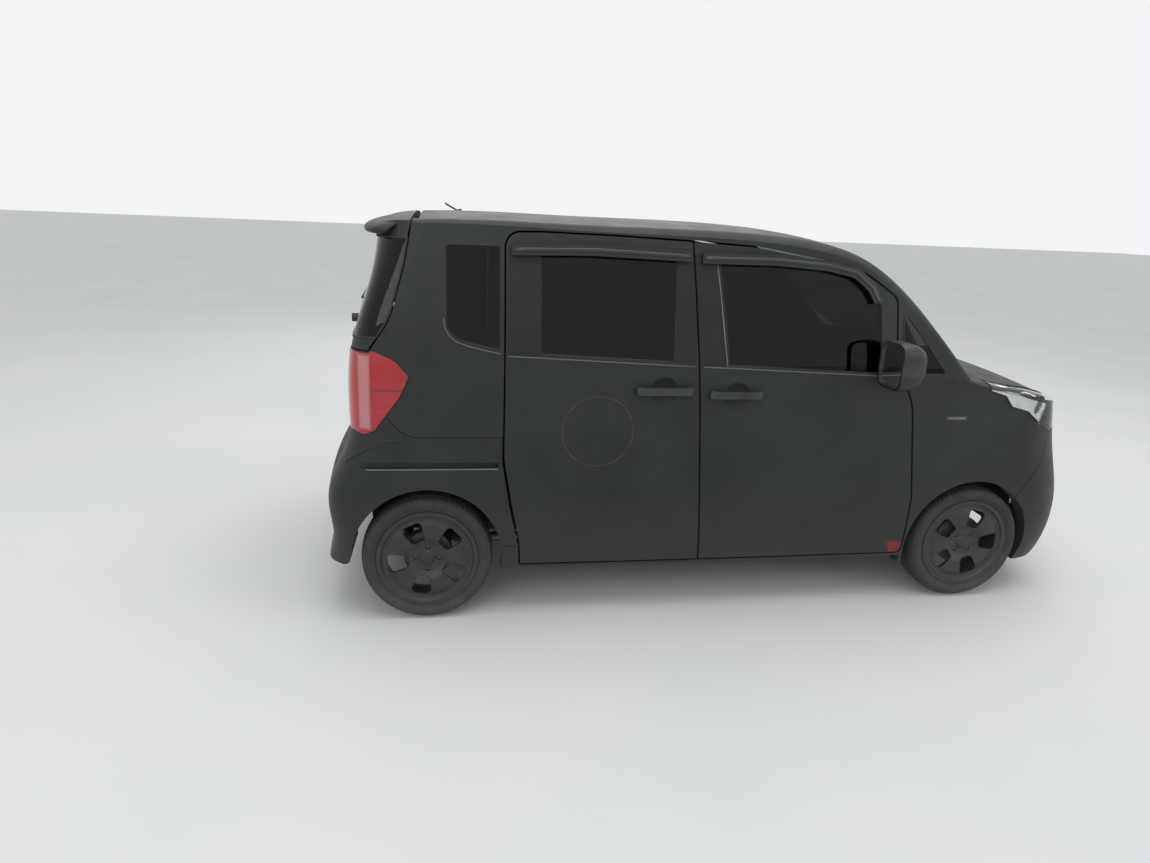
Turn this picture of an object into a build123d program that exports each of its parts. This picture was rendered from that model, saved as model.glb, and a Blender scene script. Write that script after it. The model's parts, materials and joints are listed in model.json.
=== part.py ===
from build123d import *
import math
import os

os.makedirs("parts", exist_ok=True)

# A tall, boxy five-seat city car, standing on its wheels. Millimetres.
# +X is forward, +Y is the car's left, +Z is up, and the floor is Z 0.
# The right side has a hinged front door and a sliding rear door with no pillar between them.
# The left side has two hinged doors. Side outlines are measured from the middle of the wheelbase.

# Main sizes
WHEELBASE = 2520
FRONT_OVERHANG = 635
REAR_OVERHANG = 440
WIDTH = 1595
ROOF_HEIGHT = 1700
TRACK = 1400
TYRE_RADIUS = 278
TYRE_WIDTH = 175
RIM_RADIUS = 203
ARCH_RADIUS = 316
SILL_BOTTOM = 222

# Walls and gaps
SIDE_WALL = 62
UPPER_SIDE_WALL = 38
ROOF_WALL = 34
BONNET_WALL = 26
SHUT_GAP = 8
SEAT_GAP = 0.3
STOP_GAP = 1
GLASS_RECESS = 9
GLASS_WALL = 5
SEAM_GAP = 3
RUNNING_GAP = 6

LENGTH = WHEELBASE + FRONT_OVERHANG + REAR_OVERHANG
FRONT_AXLE_X = LENGTH / 2 - FRONT_OVERHANG
REAR_AXLE_X = FRONT_AXLE_X - WHEELBASE
MIDDLE_X = (FRONT_AXLE_X + REAR_AXLE_X) / 2
NOSE_X = WHEELBASE / 2 + FRONT_OVERHANG
TAIL_X = -WHEELBASE / 2 - REAR_OVERHANG
HALF_WIDTH = WIDTH / 2
AXLE_HEIGHT = TYRE_RADIUS


def side_plane(y=0):
    """Seen from the right side: local x is forward from the middle of the wheelbase, local y is height."""
    return Plane(origin=(MIDDLE_X, y, 0), x_dir=(1, 0, 0), z_dir=(0, -1, 0))


def cross_plane(x):
    """Across the car at x from the middle of the wheelbase: local x is +Y, local y is height."""
    return Plane(origin=(MIDDLE_X + x, 0, 0), x_dir=(0, 1, 0), z_dir=(1, 0, 0))


def plan_plane(z):
    """Seen from above at a height: local x is forward from the middle of the wheelbase."""
    return Plane(origin=(MIDDLE_X, 0, z), x_dir=(1, 0, 0), z_dir=(0, 0, 1))


# Plan outlines of the lower body, as sections at a height:
# height, side drop, rear inset, bumper inset, rear corner, front inset, front corner, front bow,
# share of slimming
TUB_SECTIONS = [
    (140, 46, 128, 90, 150, 60, 270, 110, 0),
    (300, 14, 112, 6, 150, 4, 280, 110, 0),
    (470, 3, 106, 0, 150, 0, 290, 110, 0),
    (620, 1, 102, 20, 150, 30, 300, 118, 0),
    (790, 0, 100, 94, 150, 68, 310, 138, 0),
    (950, 1, 99, 99, 150, 92, 310, 156, 0),
    (1130, 10, 110, 110, 140, 165, 290, 160, 0.2),
    (1420, 56, 190, 190, 130, 255, 260, 160, 1),
    (1760, 130, 245, 245, 120, 335, 220, 160, 1),
]
SIDE_BOW = 16
REAR_BOW = 42

# Sections across the cabin: x, drop of the crown below the roof, drop at the edge, edge half width, corner
CABIN_SECTIONS = [
    (-1640, 214, 34, 712, 70),
    (-1500, 64, 34, 706, 74),
    (-1420, 23, 34, 704, 80),
    (-1290, 3, 34, 703, 84),
    (-600, 0, 34, 703, 84),
    (100, 7, 34, 703, 84),
    (380, 29, 38, 706, 84),
    (580, 70, 50, 712, 80),
    (760, 144, 90, 724, 70),
    (920, 254, 132, 744, 60),
    (1121, 423, 185, 776, 56),
    (1330, 614, 225, 812, 56),
]
CABIN_FOOT = (840, 800)

# Sections across the nose: x, crown height, drop at the edge, edge half width, corner
NOSE_SECTIONS = [
    (980, 1138, 60, 806, 60),
    (1200, 1112, 58, 803, 60),
    (1400, 1076, 55, 797, 60),
    (1600, 1022, 51, 789, 58),
    (1724, 962, 48, 782, 56),
    (1810, 916, 47, 777, 54),
    (1940, 838, 45, 770, 50),
]
NOSE_FLARE = 3
LOW_BLOCK = (-1720, 1150, 100, 1030)


def plan_outline(row, inset, with_bumper=False):
    """The plan of the lower body from a row of its sections, moved in by inset."""
    height, drop, rear, bumper, rear_corner, front, front_corner, bow, slimming = row
    half = HALF_WIDTH - drop - inset
    back = TAIL_X + (bumper if with_bumper else rear) + inset
    nose = NOSE_X - front - inset
    with BuildSketch(plan_plane(height)) as plan:
        with BuildLine():
            rear_arc = ThreePointArc(
                (back + REAR_BOW, -half + SIDE_BOW), (back, 0), (back + REAR_BOW, half - SIDE_BOW)
            )
            left_arc = ThreePointArc(rear_arc @ 1, (0, half), (nose - bow, half - SIDE_BOW))
            front_arc = ThreePointArc(left_arc @ 1, (nose, 0), (nose - bow, -half + SIDE_BOW))
            ThreePointArc(front_arc @ 1, (0, -half), rear_arc @ 0)
        make_face()
        fillet(vertices().sort_by(Axis.X)[:2], rear_corner - inset)
        fillet(vertices().sort_by(Axis.X)[-2:], front_corner - inset)
    return plan.sketch


def tub_body(inset, with_bumper=False, slim=0):
    """The lower body with rounded corners, each wall moved in by inset, less slim above the belt line."""
    with BuildPart() as body:
        for row in TUB_SECTIONS:
            add(plan_outline(row, inset - slim * row[-1], with_bumper))
        loft()
    return body.part


def tub_post(row, inset, low, high):
    """An upright post between two heights, with the plan outline of one row moved in by inset."""
    with BuildPart() as post:
        add(Pos(0, 0, low - row[0]) * plan_outline(row, inset))
        extrude(amount=high - low)
    return post.part


def crowned_section(x, crown, drop, edge, foot, foot_height, corner):
    """A section across the car: a crowned top, two rounded shoulders and slanted sides."""
    with BuildSketch(cross_plane(x)) as section:
        with BuildLine():
            top = ThreePointArc((-edge, crown - drop), (0, crown), (edge, crown - drop))
            Polyline(top @ 1, (foot, foot_height), (-foot, foot_height), top @ 0)
        make_face()
        fillet(vertices().sort_by(Axis.Y)[-2:], corner)
    return section.sketch


def cabin_top(inset):
    """The roof, its shoulders and the slope of the windscreen."""
    with BuildPart() as cabin:
        for x, fall, drop, edge, corner in CABIN_SECTIONS:
            crown = ROOF_HEIGHT - fall - inset
            foot = CABIN_FOOT[0] - inset
            add(crowned_section(x, crown, drop, edge - inset, foot, CABIN_FOOT[1], corner - inset))
        loft()
    return cabin.part


def nose_top(inset, side_growth=0):
    """The bonnet and the tops of the wings, moved down by inset."""
    with BuildPart() as nose:
        for x, crown, drop, edge, corner in NOSE_SECTIONS:
            half = edge + (side_growth if side_growth else -inset)
            foot = half + NOSE_FLARE
            add(crowned_section(x, crown - inset, drop, half, foot, LOW_BLOCK[2], corner - inset))
        loft()
    return nose.part


def envelope(side_inset, roof_inset, bonnet_inset, side_slim=0):
    """The whole outer form of the body, or the same form with every wall moved in."""
    with BuildPart() as form:
        add(cabin_top(roof_inset))
        add(nose_top(bonnet_inset))
        with BuildSketch(side_plane()):
            with Locations(((LOW_BLOCK[0] + LOW_BLOCK[1]) / 2, (LOW_BLOCK[2] + LOW_BLOCK[3]) / 2)):
                Rectangle(LOW_BLOCK[1] - LOW_BLOCK[0], LOW_BLOCK[3] - LOW_BLOCK[2])
        extrude(amount=WIDTH / 2 + 60, both=True)
        add(tub_body(side_inset, slim=side_slim), mode=Mode.INTERSECT)
    return form.part


def rounded(points, grow=0, holes=()):
    """A closed outline from rows of x, height and corner radius, grown all round, with holes in it."""
    with BuildSketch() as flat:
        with BuildLine():
            Polyline(*[(x, height) for x, height, corner in points], close=True)
        make_face()
        for x, height, corner in points:
            if corner:
                fillet(flat.vertices().sort_by_distance((x, height))[0], corner)
        if grow:
            offset(amount=grow, kind=Kind.INTERSECTION)
        for hole in holes:
            add(rounded(hole), mode=Mode.SUBTRACT)
    return flat.sketch


def bar(plane, outline, length, grow=0, holes=()):
    """A straight bar from a plane along its normal, with an outline and holes through it."""
    with BuildPart() as solid:
        with BuildSketch(plane):
            add(rounded(outline, grow, holes))
        extrude(amount=length)
    return solid.part


def across(outline, inner_y, outer_y, grow=0, holes=()):
    """A bar across the car between two y values, its outline seen from the right side."""
    return bar(side_plane(inner_y), outline, inner_y - outer_y, grow, holes)


def along(half_outline, rear_x, front_x, grow=0):
    """A bar along the car between two x values, from the right half of its outline seen from behind."""
    return bar(cross_plane(rear_x), mirrored(half_outline), front_x - rear_x, grow)


def upright(half_outline, low, high, grow=0):
    """A post between two heights, from the right half of its outline seen from above."""
    other_half = [(x, -y, corner) for x, y, corner in reversed(half_outline)]
    return bar(plan_plane(low), half_outline + other_half, high - low, grow)


def mirrored(half_outline):
    """The whole outline from the rows of its right half, where y comes first and is negative."""
    return half_outline + [(-y, height, corner) for y, height, corner in reversed(half_outline)]


def block(x_low, x_high, y_low, y_high, z_low, z_high):
    """A plain box between limits, x from the middle of the wheelbase."""
    with BuildPart() as solid:
        with BuildSketch(plan_plane(z_low)):
            with Locations(((x_low + x_high) / 2, (y_low + y_high) / 2)):
                Rectangle(x_high - x_low, y_high - y_low)
        extrude(amount=z_high - z_low)
    return solid.part


def rod(start, end, radius, bore=0):
    """A round bar or tube between two points, x from the middle of the wheelbase."""
    start = Vector(*start) + Vector(MIDDLE_X, 0, 0)
    end = Vector(*end) + Vector(MIDDLE_X, 0, 0)
    with BuildPart() as solid:
        with BuildSketch(Plane(origin=start, z_dir=end - start)):
            Circle(radius)
            if bore:
                Circle(bore, mode=Mode.SUBTRACT)
        extrude(amount=(end - start).length)
    return solid.part


def cut(solid, *tools):
    """A solid with tools taken away from it."""
    with BuildPart() as result:
        add(solid)
        add(list(tools), mode=Mode.SUBTRACT)
    return result.part


def common(solid, tool):
    """What two solids share."""
    with BuildPart() as result:
        add(solid)
        add(tool, mode=Mode.INTERSECT)
    return result.part


def joined(*solids):
    """Several solids as one piece."""
    with BuildPart() as result:
        add(list(solids))
    return result.part


def left_of(part):
    """The same piece on the other side of the car."""
    return mirror(part, about=Plane.XZ)


def keep(part, name):
    """Names a finished piece and writes it."""
    part.label = name
    export_step(part, f"parts/{name}.step")


# Side outlines: x from the middle of the wheelbase, height, corner radius.
# The two door outlines overlap by one gap at the slanted line between the doors.
HALF_GAP = SHUT_GAP / 2
FRONT_DOOR = [
    (-62 - HALF_GAP, 234, 12), (938, 234, 30), (936, 520, 160), (862, 960, 260), (806, 1079, 24),
    (767, 1084, 8), (748, 1424, 60), (560, 1546, 420), (100, 1617, 900), (-180 - HALF_GAP, 1630, 14),
]
REAR_DOOR = [
    (-62 + HALF_GAP, 234, 12), (-180 + HALF_GAP, 1630, 14), (-500, 1640, 500), (-800, 1644, 400),
    (-950, 1640, 66), (-950, 720, 240), (-916, 520, 260), (-878, 340, 120), (-872, 234, 12),
]
FRONT_WINDOW = [
    (-8, 1128, 10), (690, 1098, 14), (672, 1384, 40), (600, 1470, 120), (490, 1535, 160), (320, 1566, 300),
    (-66, 1576, 12),
]
REAR_WINDOW = [(-245, 1140, 14), (-245, 1570, 14), (-805, 1570, 14), (-805, 1164, 14)]
QUARTER_WINDOW = [(-964, 1176, 10), (-964, 1580, 10), (-1178, 1580, 16), (-1178, 1262, 30), (-1140, 1216, 60)]
SAIL_WINDOW = [(790, 1098, 10), (1012, 1096, 12), (778, 1372, 14)]
WING = [
    (938, 180, 0), (936, 520, 160), (862, 960, 260), (806, 1079.7, 0),
    (1640, 1079.7, 0), (1616, 824, 0), (1590, 700, 30), (1470, 505, 0), (1300, 180, 0),
]
HEADLAMP = [
    (1236, 1024, 0), (1318, 1000, 8), (1360, 948, 16), (1446, 928, 20), (1516, 876, 20), (1606, 828, 10),
    (1960, 846, 0), (1960, 1060, 0), (1236, 1060, 0),
]
FRONT_BUMPER = [
    (1640, 1100, 0), (1616, 824, 0), (1590, 700, 30), (1470, 505, 0), (1300, 168, 0), (1960, 168, 0),
    (1960, 1100, 0),
]
TAILGATE_SIDE = [
    (-1290, 1800, 0), (-1318, 1640, 60), (-1342, 1500, 300), (-1400, 1290, 300), (-1486, 1162, 20),
    (-1486, 570, 0), (-1900, 570, 0), (-1900, 1800, 0),
]
REAR_BUMPER = [
    (-953.5, 818, 0), (-1340, 818, 120), (-1440, 930, 30), (-1560, 860, 0), (-1900, 860, 0),
    (-1900, 250, 0), (-1590, 250, 30), (-1560, 330, 0), (-876, 330, 0), (-882, 344, 120),
    (-919.5, 521, 260), (-953.5, 720, 240),
]
TAIL_LAMP = [
    (-1560, 1180, 0), (-1452, 1166, 50), (-1374, 1130, 30), (-1322, 1070, 14), (-1356, 994, 60),
    (-1462, 848, 24), (-1506, 828, 8), (-1560, 838, 0), (-1900, 838, 0), (-1900, 1180, 0),
]

# Outlines seen from above, right half only: x, y, corner radius
BONNET = [
    (1338, -60, 0), (1322, -260, 500), (1202, -690, 30), (1330, -716, 300), (1560, -676, 300),
    (1690, -560, 200), (1752, -430, 30), (1806, -180, 400), (1811, -60, 0),
]
LAMP_INNER_Y = 430

# Outlines seen from behind, right half only: y, height, corner radius
TAILGATE_BACK = [
    (-60, 596, 0), (-560, 600, 60), (-606, 700, 40), (-606, 1168, 0), (-760, 1168, 0), (-760, 1800, 0),
    (-60, 1800, 0),
]
ROOF_EDGE = 612.5
WINDSCREEN_PLANE = Plane(origin=(MIDDLE_X + 900, 0, 1399), x_dir=(0, 1, 0), z_dir=(0.596, 0, 0.803))
# In the plane of the windscreen, right half only: y, distance up the slope, corner radius
WINDSCREEN = [(-60, -448, 0), (-300, -440, 900), (-690, -385, 50), (-612, 372, 70), (-60, 380, 0)]
REAR_GLASS = [(-60, 1196, 0), (-560, 1200, 200), (-800, 1222, 0), (-800, 1597, 0), (-60, 1597, 0)]
REAR_OPENING = [(-60, 1248, 0), (-560, 1252, 60), (-580, 1550, 60), (-60, 1560, 0)]
BUMPER_POCKET = [(-1500, -60, 0), (-1500, -560, 0), (-1590, -560, 40), (-1640, -480, 60), (-1660, -60, 0)]
INTAKE = [(-60, 300, 0), (-430, 300, 30), (-500, 410, 40), (-440, 545, 40), (-60, 545, 0)]
GRILLE_SLOT = [(-60, 776, 0), (-372, 776, 12), (-396, 832, 12), (-60, 832, 0)]
# Grilles: x of the face, bow to its ends, heights of the slats, pitch of the ribs
UPPER_GRILLE = (1800, 34, (795, 813), 28)
LOWER_GRILLE = (1866, 44, (349, 398, 447, 496), 62)
GRILLE_FRAME = 7
GRILLE_DEPTH = 26
SLAT_THICKNESS = 5
RIB_THICKNESS = 4
# The inside of the headlamp lens, seen from the side
HEADLAMP_CORE = [
    (1100, 700, 0), (1960, 700, 0), (1960, 800, 0), (1724, 914, 0), (1400, 1006, 0), (1100, 1060, 0),
]
LAMP_RIM = 14
LAMP_DEPTH = 34
WHOLE_SIDE = [(-1900, 100, 0), (1960, 100, 0), (1960, 1800, 0), (-1900, 1800, 0)]
DOOR_REACH = (-500, -900)
SLIDE_RAIL = [(-1525, 688, 10), (-964, 688, 10), (-964, 713, 10), (-1525, 713, 10)]
SLIDE_RAIL_Y = 770
ROOF_REAR = -1290 + SHUT_GAP + 1
ROOF_FRONT = 690
SILL_TOP = 330
PILLAR_FOOT = SILL_TOP + SEAT_GAP
PILLAR = [(-117, PILLAR_FOOT, 0), (-7, PILLAR_FOOT, 0), (-122, 1720, 0), (-232, 1720, 0)]
PILLAR_INNER_Y = 560
PILLAR_INSET = 72
PILLAR_WALL = 34

# Pull handles: rear x, front x, height of the middle. The hollows behind them: x, height
REAR_HANDLE = (-905, -672, 1022)
SLIDING_HANDLE = (-404, -161, 1022)
FRONT_HANDLE = (-85, 147, 1008)
REAR_BOWL = (-788, 1022)
SLIDING_BOWL = (-282, 1022)
FRONT_BOWL = (37, 1000)
HANDLE_REACH = 26
HANDLE_THICKNESS = 12
HANDLE_HEIGHT = 32
BOWL_RADIUS = 80
BOWL_OFFSET = 50

# Door mirror: sections at x with half width, half height and corner, about one centre
MIRROR_SECTIONS = [(650, 90, 98, 46), (668, 92, 100, 48), (724, 86, 94, 46), (776, 56, 62, 40)]
MIRROR_CENTRE = (-908, 1160)
MIRROR_GLASS = (160, 176, 40)
MIRROR_FOOT = [(690, 1086, 6), (757, 1086, 6), (757, 1116, 6), (700, 1122, 6)]

# Rain shields over the side windows
SHIELD_DEPTH = 20
FRONT_SHIELD = [
    (-144, 1583, 6), (186, 1584, 300), (409, 1569, 300), (549, 1541, 60), (630, 1472, 60), (662, 1404, 6),
    (622, 1400, 6), (594, 1450, 60), (524, 1503, 60), (400, 1527, 300), (186, 1541, 300), (-144, 1540, 6),
]
REAR_SHIELD = [
    (-922, 1548, 8), (-922, 1590, 8), (-600, 1600, 600), (-186, 1588, 8), (-186, 1545, 8),
    (-600, 1556, 600),
]

# Wipers, in the plane of the windscreen: y, distance up the slope, corner
WIPERS = [
    [(510, -352, 4), (-70, -412, 4), (-68, -424, 4), (512, -364, 4)],
    [(-60, -404, 4), (-585, -352, 4), (-583, -364, 4), (-58, -416, 4)],
    [(604, -430, 8), (208, -374, 4), (206, -384, 4), (598, -452, 8)],
    [(34, -452, 8), (-330, -372, 4), (-332, -382, 4), (28, -474, 8)],
]
WIPER_HEIGHT = 14
AROUND_WINDSCREEN = [(-900, -600, 0), (900, -600, 0), (900, -200, 0), (-900, -200, 0)]
# Rear wiper: y, height, corner
REAR_WIPER = [
    [(-14, 1180, 8), (14, 1180, 8), (-6, 1330, 4), (-20, 1330, 4)],
    [(-172, 1300, 4), (150, 1340, 4), (148, 1352, 4), (-174, 1312, 4)],
]
REAR_WIPER_HEIGHT = 16

# Floor and structure
FRONT_AXLE = WHEELBASE / 2
REAR_AXLE = -WHEELBASE / 2
FLOOR_WALL = 28
FLOOR_TOP = 262
# The raised rear floor: x and height of its top at the heel board, under the bench and in the boot
RAISED_FLOOR = [(-620, 430), (-950, 440), (-1505, 470)]
FIREWALL_X = 1100
LOW_UNDERSIDE = FLOOR_TOP - FLOOR_WALL


def floor_height(x):
    """The height of the raised rear floor's top at x."""
    front, middle, rear = RAISED_FLOOR
    ahead, behind = (front, middle) if x > middle[0] else (middle, rear)
    return ahead[1] + (x - ahead[0]) * (behind[1] - ahead[1]) / (behind[0] - ahead[0])


def underside(x):
    """The height of the raised rear floor's underside at x."""
    return floor_height(x) - FLOOR_WALL


HEEL_X, BENCH_X, BOOT_X = [x for x, height in RAISED_FLOOR]
FLOOR = [
    (FIREWALL_X, 1020, 0), (FIREWALL_X, 720, 40), (1010, 640, 60), (925, 480, 60), (900, FLOOR_TOP, 60),
    (HEEL_X + 60, FLOOR_TOP, 30), (HEEL_X, floor_height(HEEL_X), 30), (BENCH_X, floor_height(BENCH_X), 0),
    (BOOT_X, floor_height(BOOT_X), 12), (BOOT_X, 588, 0), (-1560, 588, 0), (-1560, underside(BOOT_X), 0),
    (BOOT_X, underside(BOOT_X), 0), (BENCH_X, underside(BENCH_X), 0),
    (HEEL_X - FLOOR_WALL, underside(HEEL_X - FLOOR_WALL), 30), (HEEL_X + 60 - FLOOR_WALL, LOW_UNDERSIDE, 30),
    (920, LOW_UNDERSIDE, 60), (950, 465, 60), (1030, 615, 60), (FIREWALL_X + FLOOR_WALL, 700, 40),
    (FIREWALL_X + FLOOR_WALL, 1020, 0),
]
SILL = (-868, 932, 640, 900, SILL_BOTTOM + 2, SILL_TOP)
# Rubber stops that the hinged doors rest on, x of the middle on each side, and the tailgate's latch
RIGHT_STOPS = [500]
LEFT_STOPS = [500, -690]
SLIDER_STOP = -690
STOP = (60, 262, 322)
LATCH = (-1545, -1500, -30, 30, 580, 640)
# The post behind each tail lamp, on the right
LAMP_POST = (-1430, -1390, -900, -690, 500, 1060)
# The doors swing past the floor here: x limits, heights, and how far in the floor stays
DOOR_ROOM = (-962, 945, 236, 1100)
DOOR_ROOM_INSET = 72
WELL_WALL = 12
WELL_INNER_Y = 546
# Jacking pads: x of the middle
JACK_PADS = (-760, 800)
JACK_PAD = (60, 50, 14)
JACK_PAD_Y = 690
RAIL = (925, 1760, 360, 425, 340, 420)
APRON = (1110, 1640, 425, 437, 400, 800)
TOWER = (1176, 1344, 437, 640, 770, 800)
BUMPER_BEAM = (1740, 1900, -520, 520, 400, 500)
# What carries each headlamp, on the left: its riser and shelf, and the rubber stop under the bonnet
LAMP_RISER = (1500, 1560, 425, 437, 790, 910)
LAMP_SHELF = (1500, 1560, 425, 760, 890, 910)
BONNET_STOP = (1530, 500, 14)

# Steering axis, leaning in toward its top, and the hub faces from the middle of the track
KINGPIN_FOOT = (FRONT_AXLE, 650, 190)
KINGPIN_LEAN = 13.6
STRUT_CAP = 60
FRONT_HUB = -8
REAR_HUB = -30
HUB_RADIUS = 66
HUB_DEPTH = 41
# Brake rotor and drum: radius, inner face, thickness
ROTOR = (118, 6, 18)
DRUM = (104, REAR_HUB, 54)
ARM_Z = (172, 188)
RACK = (1130, 204)
BEAM_X = -1080
EXHAUST_PIPE = 24
ENGINE = (1240, 1610, -320, 230, 330, 770)
EXHAUST_ROUTE = [
    (ENGINE[0] - SEAT_GAP, -120, 400), (1150, -120, 400), (990, -40, 196), (-400, -40, 196),
    (-560, -380, 196), (-1130, -370, 196), (-1420, -280, 300),
]
MUFFLER = (-1500, -1340, -330, 330, 250, 400)
# Exhaust hangers: x, y
HANGERS = [(-1360, -270), (-1360, 270), (-1480, 0)]
TANK = (-1010, -640, -330, 330, 212)
TANK_CORNER = 40

# Wheels
RIM_HALF = 77
PITCH_RADIUS = 50
NUT_COUNT = 4
NUT_POCKET = 11
WINDOWS = 5
WINDOW_RADIUS = 124
WINDOW_SIZE = (96, 88, 78)
FRONT_WHEEL_TURN = 1
REAR_WHEEL_TURN = 43

# Interior: side outlines
DASH_FRONT = FIREWALL_X - SEAT_GAP
DASH = [
    (DASH_FRONT, 1012, 0), (940, 1030, 60), (720, 1006, 60), (654, 930, 40), (690, 720, 60), (800, 640, 40),
    (1000, 660, 0), (DASH_FRONT, 770, 0),
]
DASH_HALF = 690
BINNACLE = (650, 800, 240, 490, 930, 1058)
COLUMN_TILT = 28
STEER_CENTRE = (520, 365, 970)
# Steering hub and the shroud it runs in: radius, distances along the column
STEER_HUB = (24, 32, 96)
SHROUD = (32, 97, 230)
RING_RADIUS = 178
RING_TUBE = 14
SEAT_Y = 365
SEAT_HALF = 245
CUSHION = [(-140, 402, 20), (380, 402, 40), (400, 540, 60), (-100, 512, 30)]
BACK = [(-134, 470, 20), (-40, 470, 20), (0, 560, 60), (-150, 1082, 50), (-262, 1074, 40)]
HEADREST = [(-166, 1104, 20), (-186, 1262, 40), (-276, 1254, 40), (-266, 1098, 20)]
SEAT_FRAME = (-90, 330, -200, 200)
BENCH_GAP = 2 * SEAT_GAP
REAR_CUSHION = [
    (-900, floor_height(-900) + BENCH_GAP, 20), (-650, floor_height(-650) + BENCH_GAP, 20), (-470, 452, 40),
    (-462, 548, 50), (-880, 520, 30),
]
REAR_BACK = [
    (-1000, floor_height(-1000) + BENCH_GAP, 0), (BENCH_X, floor_height(BENCH_X) + BENCH_GAP, 0),
    (-905, floor_height(-905) + BENCH_GAP, 0), (-886, 540, 20), (-960, 1060, 50), (-1060, 1052, 30),
]
REAR_HEADREST = [(-962, 1074, 20), (-972, 1196, 36), (-1046, 1190, 36), (-1040, 1068, 20)]
REAR_HALF = 590
REAR_BACK_HALF = WELL_INNER_Y - RUNNING_GAP


slimmer = SIDE_WALL - UPPER_SIDE_WALL
shell = cut(envelope(0, 0, 0), envelope(SIDE_WALL, ROOF_WALL, BONNET_WALL, slimmer))
right_side = common(shell, across(WHOLE_SIDE, -ROOF_EDGE, -900))
liner = tub_body(SIDE_WALL + SEAT_GAP, slim=slimmer)
skin_clear = tub_body(-SEAT_GAP)


def bowl(x, height):
    """The hollow in a door skin behind a handle."""
    with BuildPart() as hollow:
        with Locations((MIDDLE_X + x, -HALF_WIDTH - BOWL_OFFSET, height)):
            Sphere(BOWL_RADIUS)
    return hollow.part


# Doors: one whole thickness each, with their window openings
front_door_blank = common(right_side, across(FRONT_DOOR, *DOOR_REACH, -SHUT_GAP, [FRONT_WINDOW]))
rear_door_blank = common(right_side, across(REAR_DOOR, *DOOR_REACH, -SHUT_GAP, [REAR_WINDOW]))
door_front_right = cut(front_door_blank, bowl(*FRONT_BOWL))
sliding_door = cut(rear_door_blank, bowl(*SLIDING_BOWL))
door_rear_left = left_of(cut(rear_door_blank, bowl(*REAR_BOWL)))
door_front_left = left_of(door_front_right)

# Side glass: the window openings filled to just under the skin, less the same block moved in
with BuildPart() as window_blocks:
    with BuildSketch(side_plane(-500)):
        for window in (REAR_WINDOW, QUARTER_WINDOW, FRONT_WINDOW, SAIL_WINDOW):
            add(rounded(window, -SEAT_GAP))
    extrude(amount=400)
    add(tub_body(GLASS_RECESS), mode=Mode.INTERSECT)
panes = cut(window_blocks.part, Pos(0, GLASS_WALL, 0) * window_blocks.part).solids().sort_by(Axis.X)
quarter_glass, rear_door_glass, front_door_glass, sail_glass = [joined(pane) for pane in panes]
fixed_side_glass = joined(quarter_glass, sail_glass, left_of(quarter_glass), left_of(sail_glass))

# Side fittings, all made for the right: handles, the mirror and the rain shields over the windows


def handle(rear_x, front_x, height):
    """A pull handle on two feet, seen from above."""
    reach = HALF_WIDTH + HANDLE_REACH
    foot = HALF_WIDTH - 20
    bar_inside = reach - HANDLE_THICKNESS
    outline = [
        (rear_x, -foot, 0), (rear_x, -bar_inside, 6), (rear_x + 24, -reach, 20), (front_x - 24, -reach, 20),
        (front_x, -bar_inside, 6), (front_x, -foot, 0), (front_x - 26, -foot, 0),
        (front_x - 34, -bar_inside, 8), (rear_x + 34, -bar_inside, 8), (rear_x + 26, -foot, 0),
    ]
    return bar(plan_plane(height - HANDLE_HEIGHT / 2), outline, HANDLE_HEIGHT)


with BuildPart() as mirror_housing:
    for x, half_width, half_height, corner in MIRROR_SECTIONS:
        with BuildSketch(cross_plane(x)):
            with Locations(MIRROR_CENTRE):
                RectangleRounded(half_width * 2, half_height * 2, corner)
    loft()
    with BuildSketch(cross_plane(MIRROR_SECTIONS[0][0] - 10)):
        with Locations(MIRROR_CENTRE):
            RectangleRounded(*MIRROR_GLASS)
    extrude(amount=24, mode=Mode.SUBTRACT)
    add(across(MIRROR_FOOT, -760, -850))
with BuildPart() as mirror_pane:
    with BuildSketch(cross_plane(MIRROR_SECTIONS[0][0] + 14 - GLASS_WALL - SEAT_GAP)):
        with Locations(MIRROR_CENTRE):
            RectangleRounded(MIRROR_GLASS[0] - 2 * SEAT_GAP, MIRROR_GLASS[1] - 2 * SEAT_GAP, MIRROR_GLASS[2])
    extrude(amount=GLASS_WALL)
mirror_glass_right = mirror_pane.part
on_skin = cut(
    joined(handle(*REAR_HANDLE), handle(*SLIDING_HANDLE), handle(*FRONT_HANDLE), mirror_housing.part),
    skin_clear,
)
rear_handle, sliding_handle, front_handle, mirror_arm = on_skin.solids().sort_by(Axis.X)
with BuildPart() as shield_blocks:
    with BuildSketch(side_plane(-500)):
        add(rounded(FRONT_SHIELD))
        add(rounded(REAR_SHIELD))
    extrude(amount=400)
    add(tub_body(-SHIELD_DEPTH), mode=Mode.INTERSECT)
shields = cut(shield_blocks.part, Pos(0, SHIELD_DEPTH - SEAT_GAP, 0) * shield_blocks.part)
rear_shield, front_shield = shields.solids().sort_by(Axis.X)
door_front_right_fittings = joined(front_handle, mirror_arm, front_shield)
sliding_door_fittings = joined(sliding_handle, rear_shield)
door_rear_left_fittings = left_of(joined(rear_handle, rear_shield))


def arch(x, radius, inner_y, outer_y):
    """The round space for a wheel."""
    with BuildPart() as space:
        with BuildSketch(side_plane(inner_y)):
            with Locations((x, AXLE_HEIGHT)):
                Circle(radius)
        extrude(amount=inner_y - outer_y)
    return space.part


front_arch = arch(FRONT_AXLE, ARCH_RADIUS, -450, -900)
rear_arch = arch(REAR_AXLE, ARCH_RADIUS, -560, -900)

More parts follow.
